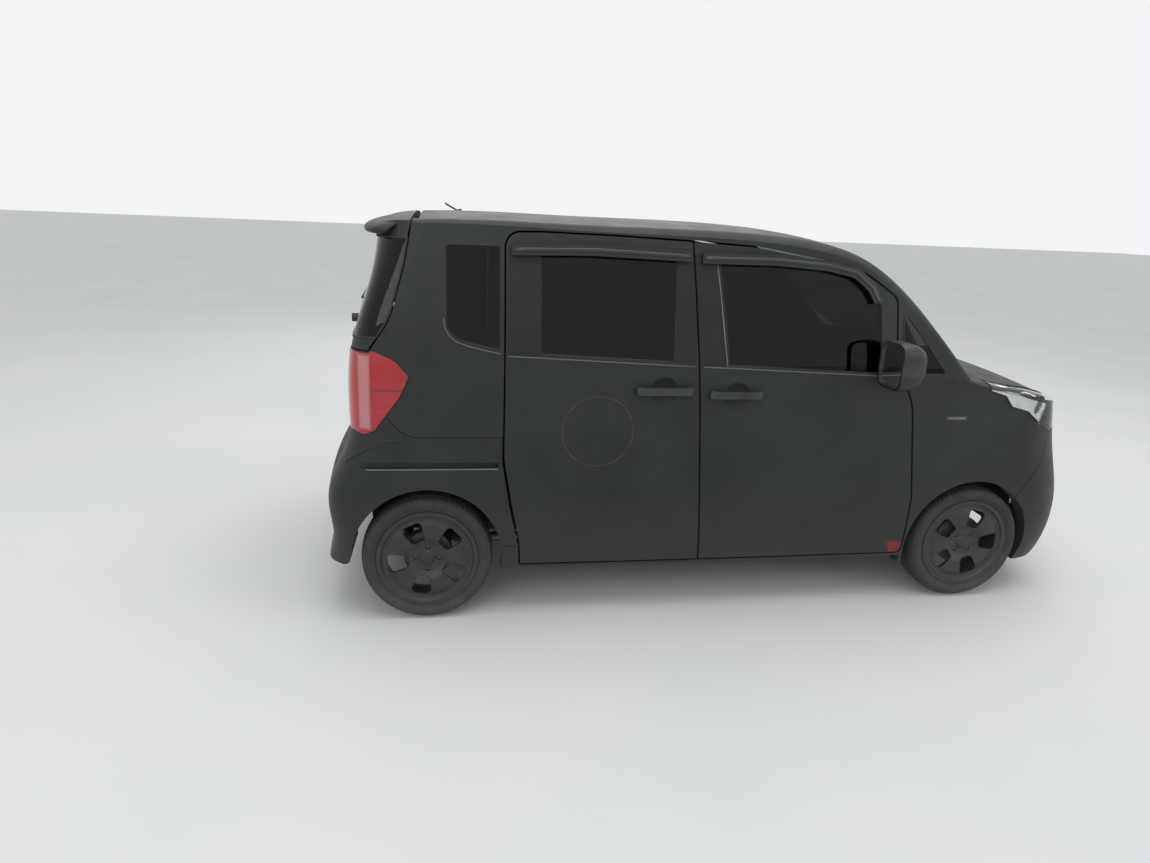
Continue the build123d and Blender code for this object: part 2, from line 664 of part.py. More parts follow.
# Bonnet, wings, lamps and front bumper
bonnet_opening = upright(BONNET, 700, 1400, SHUT_GAP)
bonnet = cut(common(shell, upright(BONNET, 700, 1400)), nose_top(BONNET_WALL))
wing = cut(
    common(right_side, across(WING, -ROOF_EDGE, -900)),
    bonnet_opening,
    across(HEADLAMP, -LAMP_INNER_Y, -900, SEAM_GAP),
    front_arch,
)
wings = joined(wing, left_of(wing))


def lens_and_bowl(lamp, row, outline, core, lens_depth):
    """A lamp split into its clear outer block and the bowl behind it, hollowed from the front."""
    reach = (-LAMP_INNER_Y + 20, -900)
    heart = common(tub_post(row, lens_depth, 700, 1300), across(core, *reach))
    lens = cut(lamp, heart)
    seat = common(tub_post(row, lens_depth + SEAT_GAP, 700, 1300), across(core, *reach, -SEAT_GAP))
    hollow = cut(across(outline, *reach, -LAMP_RIM), tub_post(row, lens_depth + LAMP_DEPTH, 700, 1300))
    return lens, cut(common(lamp, seat), hollow)


headlamp = cut(
    common(shell, across(HEADLAMP, -LAMP_INNER_Y, -900)),
    bonnet_opening,
    block(1000, 1400, -640, -400, 800, 1300),
)
headlamp_lens, headlamp_bowl = lens_and_bowl(headlamp, TUB_SECTIONS[5], HEADLAMP, HEADLAMP_CORE, 18)
front_bumper = cut(
    common(common(shell, across(FRONT_BUMPER, 900, -900, -SEAM_GAP)), nose_top(BONNET_WALL + SHUT_GAP, 60)),
    across(HEADLAMP, -LAMP_INNER_Y + SEAM_GAP, -900, SEAM_GAP),
    across(HEADLAMP, 900, LAMP_INNER_Y - SEAM_GAP, SEAM_GAP),
    along(INTAKE, 1500, 1960),
    along(GRILLE_SLOT, 1500, 1960),
    front_arch,
    left_of(front_arch),
)


def grille(outline, face_x, bow, slats, rib_pitch):
    """A framed grid that fills an opening in the bumper, bowed in plan like the nose."""
    whole = rounded(mirrored(outline), -SEAT_GAP)
    half = max(-y for y, height, corner in outline)
    middle = (outline[0][1] + outline[-1][1]) / 2
    rib_count = int(half // rib_pitch)
    with BuildPart() as grid:
        with BuildSketch(cross_plane(face_x - 200)):
            add(whole)
            add(rounded(mirrored(outline), -GRILLE_FRAME), mode=Mode.SUBTRACT)
            with Locations(*[(0, height) for height in slats]):
                Rectangle(2 * half, SLAT_THICKNESS)
            with Locations(*[(n * rib_pitch, middle) for n in range(-rib_count, rib_count + 1)]):
                Rectangle(RIB_THICKNESS, outline[-1][1] - outline[0][1])
            add(whole, mode=Mode.INTERSECT)
        extrude(amount=300)
        with BuildSketch(plan_plane(200)):
            with BuildLine():
                front = ThreePointArc((face_x - bow, -half - 20), (face_x, 0), (face_x - bow, half + 20))
                back = ThreePointArc(
                    (face_x - bow - GRILLE_DEPTH, half + 20),
                    (face_x - GRILLE_DEPTH, 0),
                    (face_x - bow - GRILLE_DEPTH, -half - 20),
                )
                Line(front @ 1, back @ 0)
                Line(back @ 1, front @ 0)
            make_face()
        extrude(amount=800, mode=Mode.INTERSECT)
    return grid.part


front_grille = joined(grille(GRILLE_SLOT, *UPPER_GRILLE), grille(INTAKE, *LOWER_GRILLE))

# Tailgate, tail lamps and rear bumper
tailgate_reach = common(across(TAILGATE_SIDE, 900, -900), along(TAILGATE_BACK, -1900, -1000))
tailgate_opening = common(
    across(TAILGATE_SIDE, 900, -900, SHUT_GAP), along(TAILGATE_BACK, -1900, -1000, SHUT_GAP)
)
glass_ring = cut(
    common(along(REAR_GLASS, -1900, -1200), across(TAILGATE_SIDE, 900, -900)), tub_body(GLASS_WALL)
)
tailgate_glass = common(tub_body(0), glass_ring)
tailgate = cut(common(shell, tailgate_reach), glass_ring, along(REAR_OPENING, -1900, -1200))
tail_lamp = cut(common(right_side, across(TAIL_LAMP, -600, -900)), tailgate_opening)
tail_lamp_lens, tail_lamp_bowl = lens_and_bowl(tail_lamp, TUB_SECTIONS[6], TAIL_LAMP, WHOLE_SIDE, 14)
rear_bumper = cut(
    common(tub_body(0, True), across(REAR_BUMPER, 900, -900)),
    tub_body(SIDE_WALL),
    upright(BUMPER_POCKET, 200, 556),
    tailgate_opening,
    across(TAIL_LAMP, -600, -900, SEAM_GAP),
    across(TAIL_LAMP, 900, 600, SEAM_GAP),
    rear_arch,
    left_of(rear_arch),
    across(SLIDE_RAIL, -SLIDE_RAIL_Y, -900),
)

# Windscreen, roof and cowl
windscreen_opening = bar(WINDSCREEN_PLANE.offset(-150), mirrored(WINDSCREEN), 300)
windscreen_bar = bar(WINDSCREEN_PLANE.offset(-60), mirrored(WINDSCREEN), 120, -SEAT_GAP)
windscreen_block = common(cabin_top(GLASS_RECESS), windscreen_bar)
windscreen = cut(windscreen_block, Pos(*(WINDSCREEN_PLANE.z_dir * -GLASS_WALL)) * windscreen_block)
roof_half = ROOF_EDGE - SEAT_GAP
roof = cut(common(shell, block(ROOF_REAR, ROOF_FRONT, -roof_half, roof_half, 1350, 1800)), windscreen_opening)
cowl_block = block(1000, 1360, -roof_half, roof_half, 800, 1350)
cowl = cut(common(shell, cowl_block), windscreen_opening, bonnet_opening)

# Body sides
body_side_right = cut(
    right_side,
    across(FRONT_DOOR, *DOOR_REACH),
    across(REAR_DOOR, *DOOR_REACH),
    across(QUARTER_WINDOW, *DOOR_REACH),
    across(SAIL_WINDOW, *DOOR_REACH),
    across(WING, -600, -900, SEAT_GAP),
    across(REAR_BUMPER, -600, -900, SEAM_GAP),
    across(TAIL_LAMP, -600, -900, SEAM_GAP),
    tailgate_opening,
    windscreen_opening,
    block(1000, 1960, -900, -600, 100, 1079),
    block(-1900, 1960, -900, -600, 100, SILL_BOTTOM),
    rear_arch,
)
pillar_bar = common(across(PILLAR, -PILLAR_INNER_Y, -900), tub_body(PILLAR_INSET, slim=slimmer))
pillar_block = common(pillar_bar, cabin_top(ROOF_WALL + SEAT_GAP))
centre_pillar_left = left_of(cut(pillar_block, Pos(0, PILLAR_WALL, 0) * pillar_block))

# Wipers and antenna
antenna = cut(
    joined(rod((-1118, 0, 1690), (-1122, 0, 1708), 15), rod((-1122, 0, 1700), (-1183, 0, 1733), 4)),
    cabin_top(-SEAT_GAP),
)
with BuildPart() as wiper_block:
    with BuildSketch(WINDSCREEN_PLANE.offset(-60)):
        for outline in WIPERS:
            add(rounded(outline))
    extrude(amount=180)
    add(cabin_top(GLASS_RECESS - WIPER_HEIGHT - SEAT_GAP), mode=Mode.INTERSECT)
below_glass = common(
    bar(WINDSCREEN_PLANE.offset(-150), AROUND_WINDSCREEN, 300, 0, [mirrored(WINDSCREEN)]),
    cabin_top(-SEAT_GAP),
)
wipers = cut(wiper_block.part, cabin_top(GLASS_RECESS - SEAT_GAP), below_glass)
with BuildPart() as rear_wiper_block:
    with BuildSketch(cross_plane(-1800)):
        for outline in REAR_WIPER:
            add(rounded(outline))
    extrude(amount=500)
    add(tub_body(-REAR_WIPER_HEIGHT), mode=Mode.INTERSECT)
    add(rod((-1625, 0, 1190), (-1560, 0, 1190), 20))
rear_wiper = cut(rear_wiper_block.part, skin_clear)

# Floor and frame inside the panels


def well_cover():
    """The half drum over a rear wheel with the post behind the tail lamp, on the car's right."""
    drum = common(
        arch(REAR_AXLE, ARCH_RADIUS + WELL_WALL, -WELL_INNER_Y, -900), block(-1700, -900, -900, 0, 330, 800)
    )
    return cut(joined(drum, block(*LAMP_POST)), rear_arch)


def door_stop(x, left):
    """The rubber stop on a sill that a door rests on."""
    length, low, high = STOP
    y = SILL[3] if left else -SILL[3]
    return block(x - length / 2, x + length / 2, min(y, 0), max(y, 0), low, high)


def jack_pad(x):
    """A flat pad under the left sill."""
    length, width, depth = JACK_PAD
    inner_y = JACK_PAD_Y - width / 2
    return block(x - length / 2, x + length / 2, inner_y, inner_y + width, SILL[4] - depth, SILL[4] + 1)


sill = joined(block(*SILL), *[jack_pad(x) for x in JACK_PADS])
room_rear, room_front, room_low, room_high = DOOR_ROOM
door_room = cut(
    block(room_rear, room_front, -900, 900, room_low, room_high), tub_body(DOOR_ROOM_INSET, slim=slimmer)
)
floor_shape = cut(
    joined(
        cut(across(FLOOR, 900, -900), rear_arch, left_of(rear_arch)),
        sill,
        left_of(sill),
        well_cover(),
        left_of(well_cover()),
    ),
    door_room,
)
slider_stop = cut(door_stop(SLIDER_STOP, False), block(-900, 900, -SILL[2], 900, 0, 400))
stops = [door_stop(x, False) for x in RIGHT_STOPS] + [door_stop(x, True) for x in LEFT_STOPS]
sill_stops = cut(joined(*stops), block(-900, 900, -SILL[2], SILL[2], 0, 400))
floor_pan = joined(
    common(joined(floor_shape, slider_stop), liner),
    common(joined(sill_stops, block(*LATCH)), tub_body(SIDE_WALL + STOP_GAP)),
)
x, y, radius = BONNET_STOP
stop_post = rod((x, y, LAMP_SHELF[4]), (x, y, ROOF_HEIGHT), radius)
bonnet_stop = common(stop_post, nose_top(BONNET_WALL + STOP_GAP))
frame_half = cut(
    joined(block(*RAIL), block(*APRON), block(*TOWER)),
    left_of(front_arch),
    across(FLOOR, 900, -900, SEAT_GAP),
)
lamp_carrier = joined(common(joined(block(*LAMP_RISER), block(*LAMP_SHELF)), liner), bonnet_stop)
front_frame = joined(
    frame_half,
    left_of(frame_half),
    lamp_carrier,
    left_of(lamp_carrier),
    common(block(*BUMPER_BEAM), liner),
)

# Front suspension and the steered knuckles
lean = math.tan(math.radians(KINGPIN_LEAN))


def kingpin(height):
    """A point on the left steering axis at a height."""
    return (FRONT_AXLE, KINGPIN_FOOT[1] - (height - KINGPIN_FOOT[2]) * lean, height)


front_hub_y = TRACK / 2 + FRONT_HUB
strut_top = TOWER[4] - SEAT_GAP - STRUT_CAP * math.sin(math.radians(KINGPIN_LEAN))
rear_hub_y = TRACK / 2 + REAR_HUB
caliper_x = FRONT_AXLE + HUB_RADIUS + RUNNING_GAP
caliper_y = TRACK / 2 + ROTOR[1] - RUNNING_GAP
knuckle_left = joined(
    rod((FRONT_AXLE, 640, AXLE_HEIGHT), (FRONT_AXLE, front_hub_y - SEAT_GAP, AXLE_HEIGHT), 46),
    rod(kingpin(206), kingpin(350), 17),
    rod(kingpin(325), kingpin(560), 25),
    rod(kingpin(560), kingpin(572), 64),
    rod(kingpin(572), kingpin(strut_top - 14), 46),
    rod(kingpin(strut_top - 14), kingpin(strut_top), STRUT_CAP),
    block(FRONT_AXLE - 132, FRONT_AXLE - 10, 590, 640, 238, 252),
    block(FRONT_AXLE + 30, caliper_x + 8, 640, front_hub_y - RUNNING_GAP, 240, 330),
    block(caliper_x, FRONT_AXLE + 140, 660, caliper_y, 232, 330),
)
with BuildPart() as lower_arm:
    with BuildSketch(plan_plane(ARM_Z[0])):
        with BuildLine():
            FilletPolyline(
                (1238, 668), (1284, 668), (1290, 560), (1300, 345), (1262, 345), (1240, 470), (1160, 345),
                (1112, 345), (1140, 420), (1232, 560), radius=16, close=True,
            )
        make_face()
    extrude(amount=ARM_Z[1] - ARM_Z[0])
    add(rod(kingpin(ARM_Z[1] - 4), kingpin(206 - SEAT_GAP), 14))
front_suspension = joined(
    lower_arm.part,
    left_of(lower_arm.part),
    cut(block(1096, 1316, -350, 350, 168, 214), block(1140, 1270, -230, 230, 160, 220)),
    rod((RACK[0], -430, 246), (RACK[0], 430, 246), 24),
    block(1112, 1150, -330, -290, 210, 240),
    block(1112, 1150, 290, 330, 210, 240),
    rod((RACK[0], 300, 246), (RACK[0] + 4, 592, RACK[1]), 8),
    rod((RACK[0], -300, 246), (RACK[0] + 4, -592, RACK[1]), 8),
    block(1180, 1230, -424, -340, 200, RAIL[4] - SEAT_GAP),
    block(1180, 1230, 340, 424, 200, RAIL[4] - SEAT_GAP),
)

# Rear axle: a twist beam with its arms, springs and dampers
rear_axle_half = joined(
    rod((BEAM_X, 0, 270), (BEAM_X, 500, 270), 34, 28),
    rod((-860, 470, 330), (REAR_AXLE, 560, 265), 24),
    rod((-860, 430, 330), (-860, 510, 330), 30),
    block(-900, -820, 440, 500, 345, underside(-820) - SEAT_GAP),
    rod((REAR_AXLE, 540, AXLE_HEIGHT), (REAR_AXLE, rear_hub_y - SEAT_GAP, AXLE_HEIGHT), 40),
    rod((REAR_AXLE, 500, AXLE_HEIGHT - 20), (REAR_AXLE, 560, AXLE_HEIGHT), 30),
    rod((-1180, 455, 262), (-1180, 455, 300), 62),
    rod((-1180, 455, 300), (-1180, 455, underside(-1180 + 48) - SEAT_GAP), 48),
    rod((-1345, 510, 250), (-1375, 490, 416), 24),
    rod((-1345, 470, 250), (-1345, 560, 262), 12),
    block(-1360, REAR_AXLE, 535, 560, 240, 275),
)
rear_axle = joined(rear_axle_half, left_of(rear_axle_half))

# Engine, cooler, tank and exhaust
with BuildPart() as engine:
    add(block(*ENGINE))
    fillet(engine.edges().filter_by(Axis.Z), 30)
    chamfer(engine.faces().sort_by(Axis.Z)[-1].edges(), 24)
    add(block(1380, 1460, -RAIL[2] + SEAT_GAP, -300, 360, 410))
    add(block(1380, 1460, 200, RAIL[2] - SEAT_GAP, 360, 410))
engine_block = engine.part
radiator = joined(
    block(1690, 1722, -RAIL[2] + SEAT_GAP, RAIL[2] - SEAT_GAP, 345, 415),
    block(1690, 1722, -330, 330, 330, 740),
)
with BuildPart() as tank:
    add(block(*TANK, underside(TANK[1] - TANK_CORNER) - SEAT_GAP))
    fillet(tank.edges().filter_by(Axis.Y), TANK_CORNER)
fuel_tank = tank.part
with BuildPart() as pipe:
    with BuildLine() as pipe_route:
        FilletPolyline(*[(MIDDLE_X + x, y, z) for x, y, z in EXHAUST_ROUTE], radius=60)
    with BuildSketch(Plane(origin=pipe_route.line @ 0, z_dir=pipe_route.line % 0)):
        Circle(EXHAUST_PIPE)
    sweep()
    add(block(*MUFFLER))
    for x, y in HANGERS:
        add(rod((x, y, MUFFLER[5] - 20), (x, y, underside(x + 9) - SEAT_GAP), 9))
exhaust = pipe.part

# Wheels: made about their own centre, with the outer face toward +Y
# The plane of a wheel's section: local x is the radius, local y runs outboard
wheel_section = Plane(origin=(0, 0, 0), x_dir=(1, 0, 0), z_dir=(0, 0, 1))
with BuildPart() as tyre_ring:
    half = TYRE_WIDTH / 2
    bead = RIM_RADIUS + 6
    with BuildSketch(wheel_section):
        with BuildLine():
            tread = ThreePointArc((TYRE_RADIUS - 6, -62), (TYRE_RADIUS, 0), (TYRE_RADIUS - 6, 62))
            outer = ThreePointArc(tread @ 1, (TYRE_RADIUS - 36, half - 1), (bead + 6.2, 73))
            Polyline(outer @ 1, (bead, 69.6), (bead, -69.6), (bead + 6.2, -73))
            ThreePointArc((bead + 6.2, -73), (TYRE_RADIUS - 36, 1 - half), tread @ 0)
        make_face()
    revolve(axis=Axis.Y)
tyre = tyre_ring.part


def rim(turn, hub, brake):
    """A one-piece rim with five broad windows, and the brake part that turns with it."""
    seat = RIM_RADIUS + 6 - SEAT_GAP
    flange = seat + 6
    face = Plane(origin=(0, 100, 0), x_dir=(1, 0, 0), z_dir=(0, -1, 0))
    brake_radius, brake_y, brake_thickness = brake
    with BuildPart() as wheel:
        with BuildSketch(wheel_section):
            with BuildLine():
                Polyline(
                    (seat, -RIM_HALF + 7), (seat, RIM_HALF - 7), (flange, RIM_HALF - 4), (flange, RIM_HALF),
                    (196, RIM_HALF), (190, 69), (176, 66), (150, 74), (96, 74), (64, 60), (34, 60), (28, 66),
                    (0, 66), (0, 40), (60, 40), (70, 50), (100, 58), (150, 58), (186, 46), (190, 30),
                    (190, -40), (198, -62), (199, -RIM_HALF), (flange, -RIM_HALF), (flange, -RIM_HALF + 4),
                    close=True,
                )
            make_face()
        revolve(axis=Axis.Y)
        with BuildSketch(face):
            with PolarLocations(WINDOW_RADIUS, WINDOWS, start_angle=turn):
                Trapezoid(*WINDOW_SIZE, rotation=90)
            fillet(vertices(), 20)
        extrude(amount=90, mode=Mode.SUBTRACT)
        with BuildSketch(face):
            with PolarLocations(PITCH_RADIUS, NUT_COUNT, start_angle=turn + 45):
                Circle(NUT_POCKET)
        extrude(amount=48, mode=Mode.SUBTRACT)
        with BuildSketch(Plane(origin=(0, brake_y + brake_thickness, 0), x_dir=(1, 0, 0), z_dir=(0, -1, 0))):
            Circle(brake_radius)
        extrude(amount=brake_thickness)
        with BuildSketch(Plane(origin=(0, HUB_DEPTH, 0), x_dir=(1, 0, 0), z_dir=(0, -1, 0))):
            Circle(HUB_RADIUS)
        extrude(amount=HUB_DEPTH - hub)
    return wheel.part


front_rim = rim(FRONT_WHEEL_TURN, FRONT_HUB, ROTOR)
rear_rim = rim(REAR_WHEEL_TURN, REAR_HUB, DRUM)


def wheel_pair(piece, axle_x):
    """A piece made about the wheel centre, placed at both ends of an axle: left, right."""
    left = Pos(MIDDLE_X + axle_x, TRACK / 2, AXLE_HEIGHT) * piece
    return left, left_of(left)


tyre_front_left, tyre_front_right = wheel_pair(tyre, FRONT_AXLE)
tyre_rear_left, tyre_rear_right = wheel_pair(tyre, REAR_AXLE)
rim_front_left, rim_front_right = wheel_pair(front_rim, FRONT_AXLE)
rim_rear_left, rim_rear_right = wheel_pair(rear_rim, REAR_AXLE)

# Dashboard and steering wheel
with BuildPart() as dash:
    add(across(DASH, DASH_HALF, -DASH_HALF))
    add(block(*BINNACLE))
    fillet(dash.edges().filter_by(Axis.X).sort_by(Axis.Z)[-2:], 24)
    add(block(640, 900, -110, 110, 520, 980))
    add(block(760, 800, -60, 60, FLOOR_TOP + SEAT_GAP, 560))
    add(block(1070, DASH_FRONT, -DASH_HALF, DASH_HALF, 900, 1012))
tilt = math.radians(COLUMN_TILT)
steer_plane = Plane(
    origin=(MIDDLE_X + STEER_CENTRE[0], STEER_CENTRE[1], STEER_CENTRE[2]),
    x_dir=(0, 1, 0),
    z_dir=(-math.cos(tilt), 0, math.sin(tilt)),
)
with BuildPart() as shroud:
    with BuildSketch(steer_plane.offset(-SHROUD[2])):
        Circle(SHROUD[0])
    extrude(amount=SHROUD[2] - SHROUD[1])
dashboard = joined(dash.part, shroud.part)
ring_section = Plane(
    origin=steer_plane.origin + steer_plane.x_dir * RING_RADIUS,
    x_dir=steer_plane.x_dir,
    z_dir=steer_plane.y_dir,
)
with BuildPart() as steering:
    with BuildSketch(ring_section):
        Ellipse(RING_TUBE, RING_TUBE + 2)
    revolve(axis=Axis(steer_plane.origin, steer_plane.z_dir))
    with BuildSketch(steer_plane.offset(-34)):
        RectangleRounded(150, 124, 40)
    extrude(amount=44)
    with BuildSketch(steer_plane.offset(-14)):
        with Locations((-115, 0), (115, 0)):
            Rectangle(124, 40)
        with Locations((0, 115)):
            Rectangle(50, 124)
    extrude(amount=14)
    with BuildSketch(steer_plane.offset(-STEER_HUB[2])):
        Circle(STEER_HUB[0])
    extrude(amount=STEER_HUB[2] - STEER_HUB[1])
steering_wheel = steering.part


def soft_bar(outline, centre_y, half, edge):
    """A bar across a seat with its long edges rounded over."""
    with BuildPart() as pad:
        add(across(outline, centre_y + half, centre_y - half))
        fillet(pad.faces().filter_by(Axis.Y).edges(), edge)
    return pad.part


def headrest_at(outline, centre_y, post_x, post_foot):
    """A headrest on its two posts."""
    top = outline[0][1] + 30
    return joined(
        soft_bar(outline, centre_y, 126, 16),
        rod((post_x, centre_y - 58, post_foot), (post_x - 6, centre_y - 58, top), 7),
        rod((post_x, centre_y + 58, post_foot), (post_x - 6, centre_y + 58, top), 7),
    )


def seat_at(centre_y):
    """Cushion, back and headrest of one front seat."""
    return joined(
        soft_bar(CUSHION, centre_y, SEAT_HALF, 18),
        soft_bar(BACK, centre_y, SEAT_HALF - 15, 18),
        headrest_at(HEADREST, centre_y, -206, 1040),
    )


def seat_frame_at(centre_y):
    """The frame and runners under a front seat."""
    x_low, x_high, y_low, y_high = SEAT_FRAME
    return joined(
        block(x_low, x_high, centre_y + y_low, centre_y + y_high, 330, CUSHION[0][1] - SEAT_GAP),
        block(x_low - 40, x_high + 40, centre_y + y_low, centre_y + y_low + 50, FLOOR_TOP + SEAT_GAP, 331),
        block(x_low - 40, x_high + 40, centre_y + y_high - 50, centre_y + y_high, FLOOR_TOP + SEAT_GAP, 331),
    )


front_seats = joined(seat_at(-SEAT_Y), seat_at(SEAT_Y))
seat_bases = joined(seat_frame_at(-SEAT_Y), seat_frame_at(SEAT_Y))
rear_seat = joined(
    soft_bar(REAR_CUSHION, 0, REAR_HALF, 18),
    soft_bar(REAR_BACK, 0, REAR_BACK_HALF, 18),
    headrest_at(REAR_HEADREST, -330, -1006, 1020),
    headrest_at(REAR_HEADREST, 330, -1006, 1020),
)

FINISHED = {
    "floor_pan": floor_pan,
    "front_frame": front_frame,
    "body_side_right": body_side_right,
    "body_side_left": left_of(body_side_right),
    "centre_pillar_left": centre_pillar_left,
    "roof": roof,
    "cowl": cowl,
    "wings": wings,
    "front_bumper": front_bumper,
    "front_grille": front_grille,
    "headlamp_bowls": joined(headlamp_bowl, left_of(headlamp_bowl)),
    "headlamp_lenses": joined(headlamp_lens, left_of(headlamp_lens)),
    "rear_bumper": rear_bumper,
    "tail_lamp_bowls": joined(tail_lamp_bowl, left_of(tail_lamp_bowl)),
    "tail_lamp_lenses": joined(tail_lamp_lens, left_of(tail_lamp_lens)),
    "windscreen": windscreen,
    "fixed_side_glass": fixed_side_glass,
    "sliding_door": sliding_door,
    "sliding_door_glass": rear_door_glass,
    "sliding_door_fittings": sliding_door_fittings,
    "dashboard": dashboard,
    "front_seats": front_seats,
    "seat_bases": seat_bases,
    "rear_seat": rear_seat,
    "engine_block": engine_block,
    "radiator": radiator,
    "front_suspension": front_suspension,
    "rear_axle": rear_axle,
    "exhaust": exhaust,
    "fuel_tank": fuel_tank,
    "wipers": wipers,
    "antenna": antenna,
    "steering_wheel": steering_wheel,
    "bonnet": bonnet,
    "tailgate": tailgate,
    "tailgate_glass": tailgate_glass,
    "rear_wiper": rear_wiper,
    "door_front_right": door_front_right,
    "door_front_right_glass": front_door_glass,
    "door_front_right_fittings": door_front_right_fittings,
    "mirror_glass_right": mirror_glass_right,
    "door_front_left": door_front_left,
    "door_front_left_glass": left_of(front_door_glass),
    "door_front_left_fittings": left_of(door_front_right_fittings),
    "mirror_glass_left": left_of(mirror_glass_right),
    "door_rear_left": door_rear_left,
    "door_rear_left_glass": left_of(rear_door_glass),
    "door_rear_left_fittings": door_rear_left_fittings,
    "knuckle_left": knuckle_left,
    "knuckle_right": left_of(knuckle_left),
    "tyre_front_left": tyre_front_left,
    "tyre_front_right": tyre_front_right,
    "tyre_rear_left": tyre_rear_left,
    "tyre_rear_right": tyre_rear_right,
    "rim_front_left": rim_front_left,
    "rim_front_right": rim_front_right,
    "rim_rear_left": rim_rear_left,
    "rim_rear_right": rim_rear_right,
}
for name, part in FINISHED.items():
    keep(part, name)
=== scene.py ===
# %% [markdown]
# # A tall, boxy city car
# The CAD model gives every panel its place and size. This script dresses it: paint, glass, rubber,
# lamps, tyres with tread, seats that are padded, and the small trim that a passer-by would notice.
# Everything is in metres, +X is forward, +Y is the car's left and +Z is up.

# %% Load the frame
import json
import math

import bmesh
import bpy
from mathutils import Matrix, Vector


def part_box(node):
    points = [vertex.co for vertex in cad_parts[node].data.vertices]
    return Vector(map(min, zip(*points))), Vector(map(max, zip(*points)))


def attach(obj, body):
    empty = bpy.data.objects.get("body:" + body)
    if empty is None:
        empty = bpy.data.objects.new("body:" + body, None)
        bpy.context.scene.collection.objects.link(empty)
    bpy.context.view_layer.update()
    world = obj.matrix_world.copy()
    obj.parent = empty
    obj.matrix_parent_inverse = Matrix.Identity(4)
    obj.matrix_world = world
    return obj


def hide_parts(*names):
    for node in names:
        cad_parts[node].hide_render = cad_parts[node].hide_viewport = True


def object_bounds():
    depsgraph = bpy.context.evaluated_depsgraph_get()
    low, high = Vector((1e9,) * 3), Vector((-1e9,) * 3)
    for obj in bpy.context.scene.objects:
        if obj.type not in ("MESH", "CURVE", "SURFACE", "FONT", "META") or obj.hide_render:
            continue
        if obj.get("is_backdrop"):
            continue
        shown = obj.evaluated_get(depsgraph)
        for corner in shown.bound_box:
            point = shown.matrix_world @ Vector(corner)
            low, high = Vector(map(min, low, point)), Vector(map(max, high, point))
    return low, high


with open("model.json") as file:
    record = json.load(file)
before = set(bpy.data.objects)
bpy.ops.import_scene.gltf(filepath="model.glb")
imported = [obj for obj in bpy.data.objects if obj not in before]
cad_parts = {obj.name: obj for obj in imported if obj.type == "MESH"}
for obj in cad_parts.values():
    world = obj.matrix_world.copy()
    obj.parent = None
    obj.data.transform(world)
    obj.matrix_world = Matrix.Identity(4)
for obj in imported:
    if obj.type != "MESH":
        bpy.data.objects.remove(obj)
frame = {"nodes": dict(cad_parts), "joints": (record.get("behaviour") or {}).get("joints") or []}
nodes = frame["nodes"]
cad_low, cad_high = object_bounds()
print("nodes", len(nodes), "size", [round(b - a, 3) for a, b in zip(cad_low, cad_high)])

# %% [markdown]
# ## Where the main things are
# The joints say where the wheels turn and how far apart the axles stand. Trim is then placed by heights
# and by distances from the middle of the wheelbase, and probes find the panel that it sits on.

# %% Axles and middle of the wheelbase
joint_at = {joint["name"]: Vector(joint["pos_m"]) for joint in frame["joints"]}
front_axle = joint_at["wheel_front_right_spin"].x
rear_axle = joint_at["wheel_rear_right_spin"].x
middle = (front_axle + rear_axle) / 2
half_track = abs(joint_at["wheel_front_right_spin"].y)
print("wheelbase", round(front_axle - rear_axle, 3), "middle", round(middle, 4), "half track", half_track)

SIDES = {"right": -1, "left": 1}

# %% [markdown]
# ## Small helpers for shaders
# A shader is a graph. One helper adds a node and wires it, so that a material below reads as a list of
# what feeds what. A value that is a socket is wired, and any other value is typed into the socket. The
# others are the nodes that come back most often: a sum, a ramp, a mix of two colours, and the place on
# the car that is being shaded.

# %% Helper: add and wire a shader node
def place(tree, kind, inputs=None, **settings):
    """Adds a node, sets its options, and sets or wires its inputs."""
    made = tree.nodes.new(kind)
    for option, value in settings.items():
        setattr(made, option, value)
    for name, value in (inputs or {}).items():
        if isinstance(value, bpy.types.NodeSocket):
            tree.links.new(value, made.inputs[name])
        else:
            made.inputs[name].default_value = value
    return made


# %% Helpers: the nodes that come back most often
def maths(tree, operation, first, second=0.0, clamp=False):
    """The output of a Math node."""
    inputs = {0: first} if operation in ("ABSOLUTE", "SQRT") else {0: first, 1: second}
    return place(tree, "ShaderNodeMath", inputs, operation=operation, use_clamp=clamp).outputs[0]


def ramp(tree, value, low, high, to_low=0.0, to_high=1.0):
    """Goes from to_low to to_high while a value goes from low to high."""
    inputs = {"Value": value, "From Min": low, "From Max": high, "To Min": to_low, "To Max": to_high}
    return place(tree, "ShaderNodeMapRange", inputs).outputs[0]


def mixed(tree, factor, first, second):
    """A colour that goes from the first to the second by a factor."""
    return place(tree, "ShaderNodeMix", {0: factor, 6: first, 7: second}, data_type="RGBA").outputs[2]


def on_car(tree):
    """Where the shaded point is, in the car's own metres."""
    return place(tree, "ShaderNodeTexCoord").outputs["Object"]


def x_y_z(tree):
    """The same place as three outputs."""
    return place(tree, "ShaderNodeSeparateXYZ", {0: on_car(tree)}).outputs


def cloud(tree, **inputs):
    """The value of a noise texture."""
    return place(tree, "ShaderNodeTexNoise", {"Vector": on_car(tree), **inputs}).outputs[0]


# %% Helpers: make a shared effect and use it
FLOAT = "NodeSocketFloat"


def new_group(name, output, inputs):
    """A node group with number inputs and one number output: the group, its inputs and its output."""
    group = bpy.data.node_groups.new(name, "ShaderNodeTree")
    for label, value in inputs.items():
        group.interface.new_socket(label, in_out="INPUT", socket_type=FLOAT).default_value = value
    group.interface.new_socket(output, in_out="OUTPUT", socket_type=FLOAT)
    return group, place(group, "NodeGroupInput").outputs, place(group, "NodeGroupOutput").inputs[output]


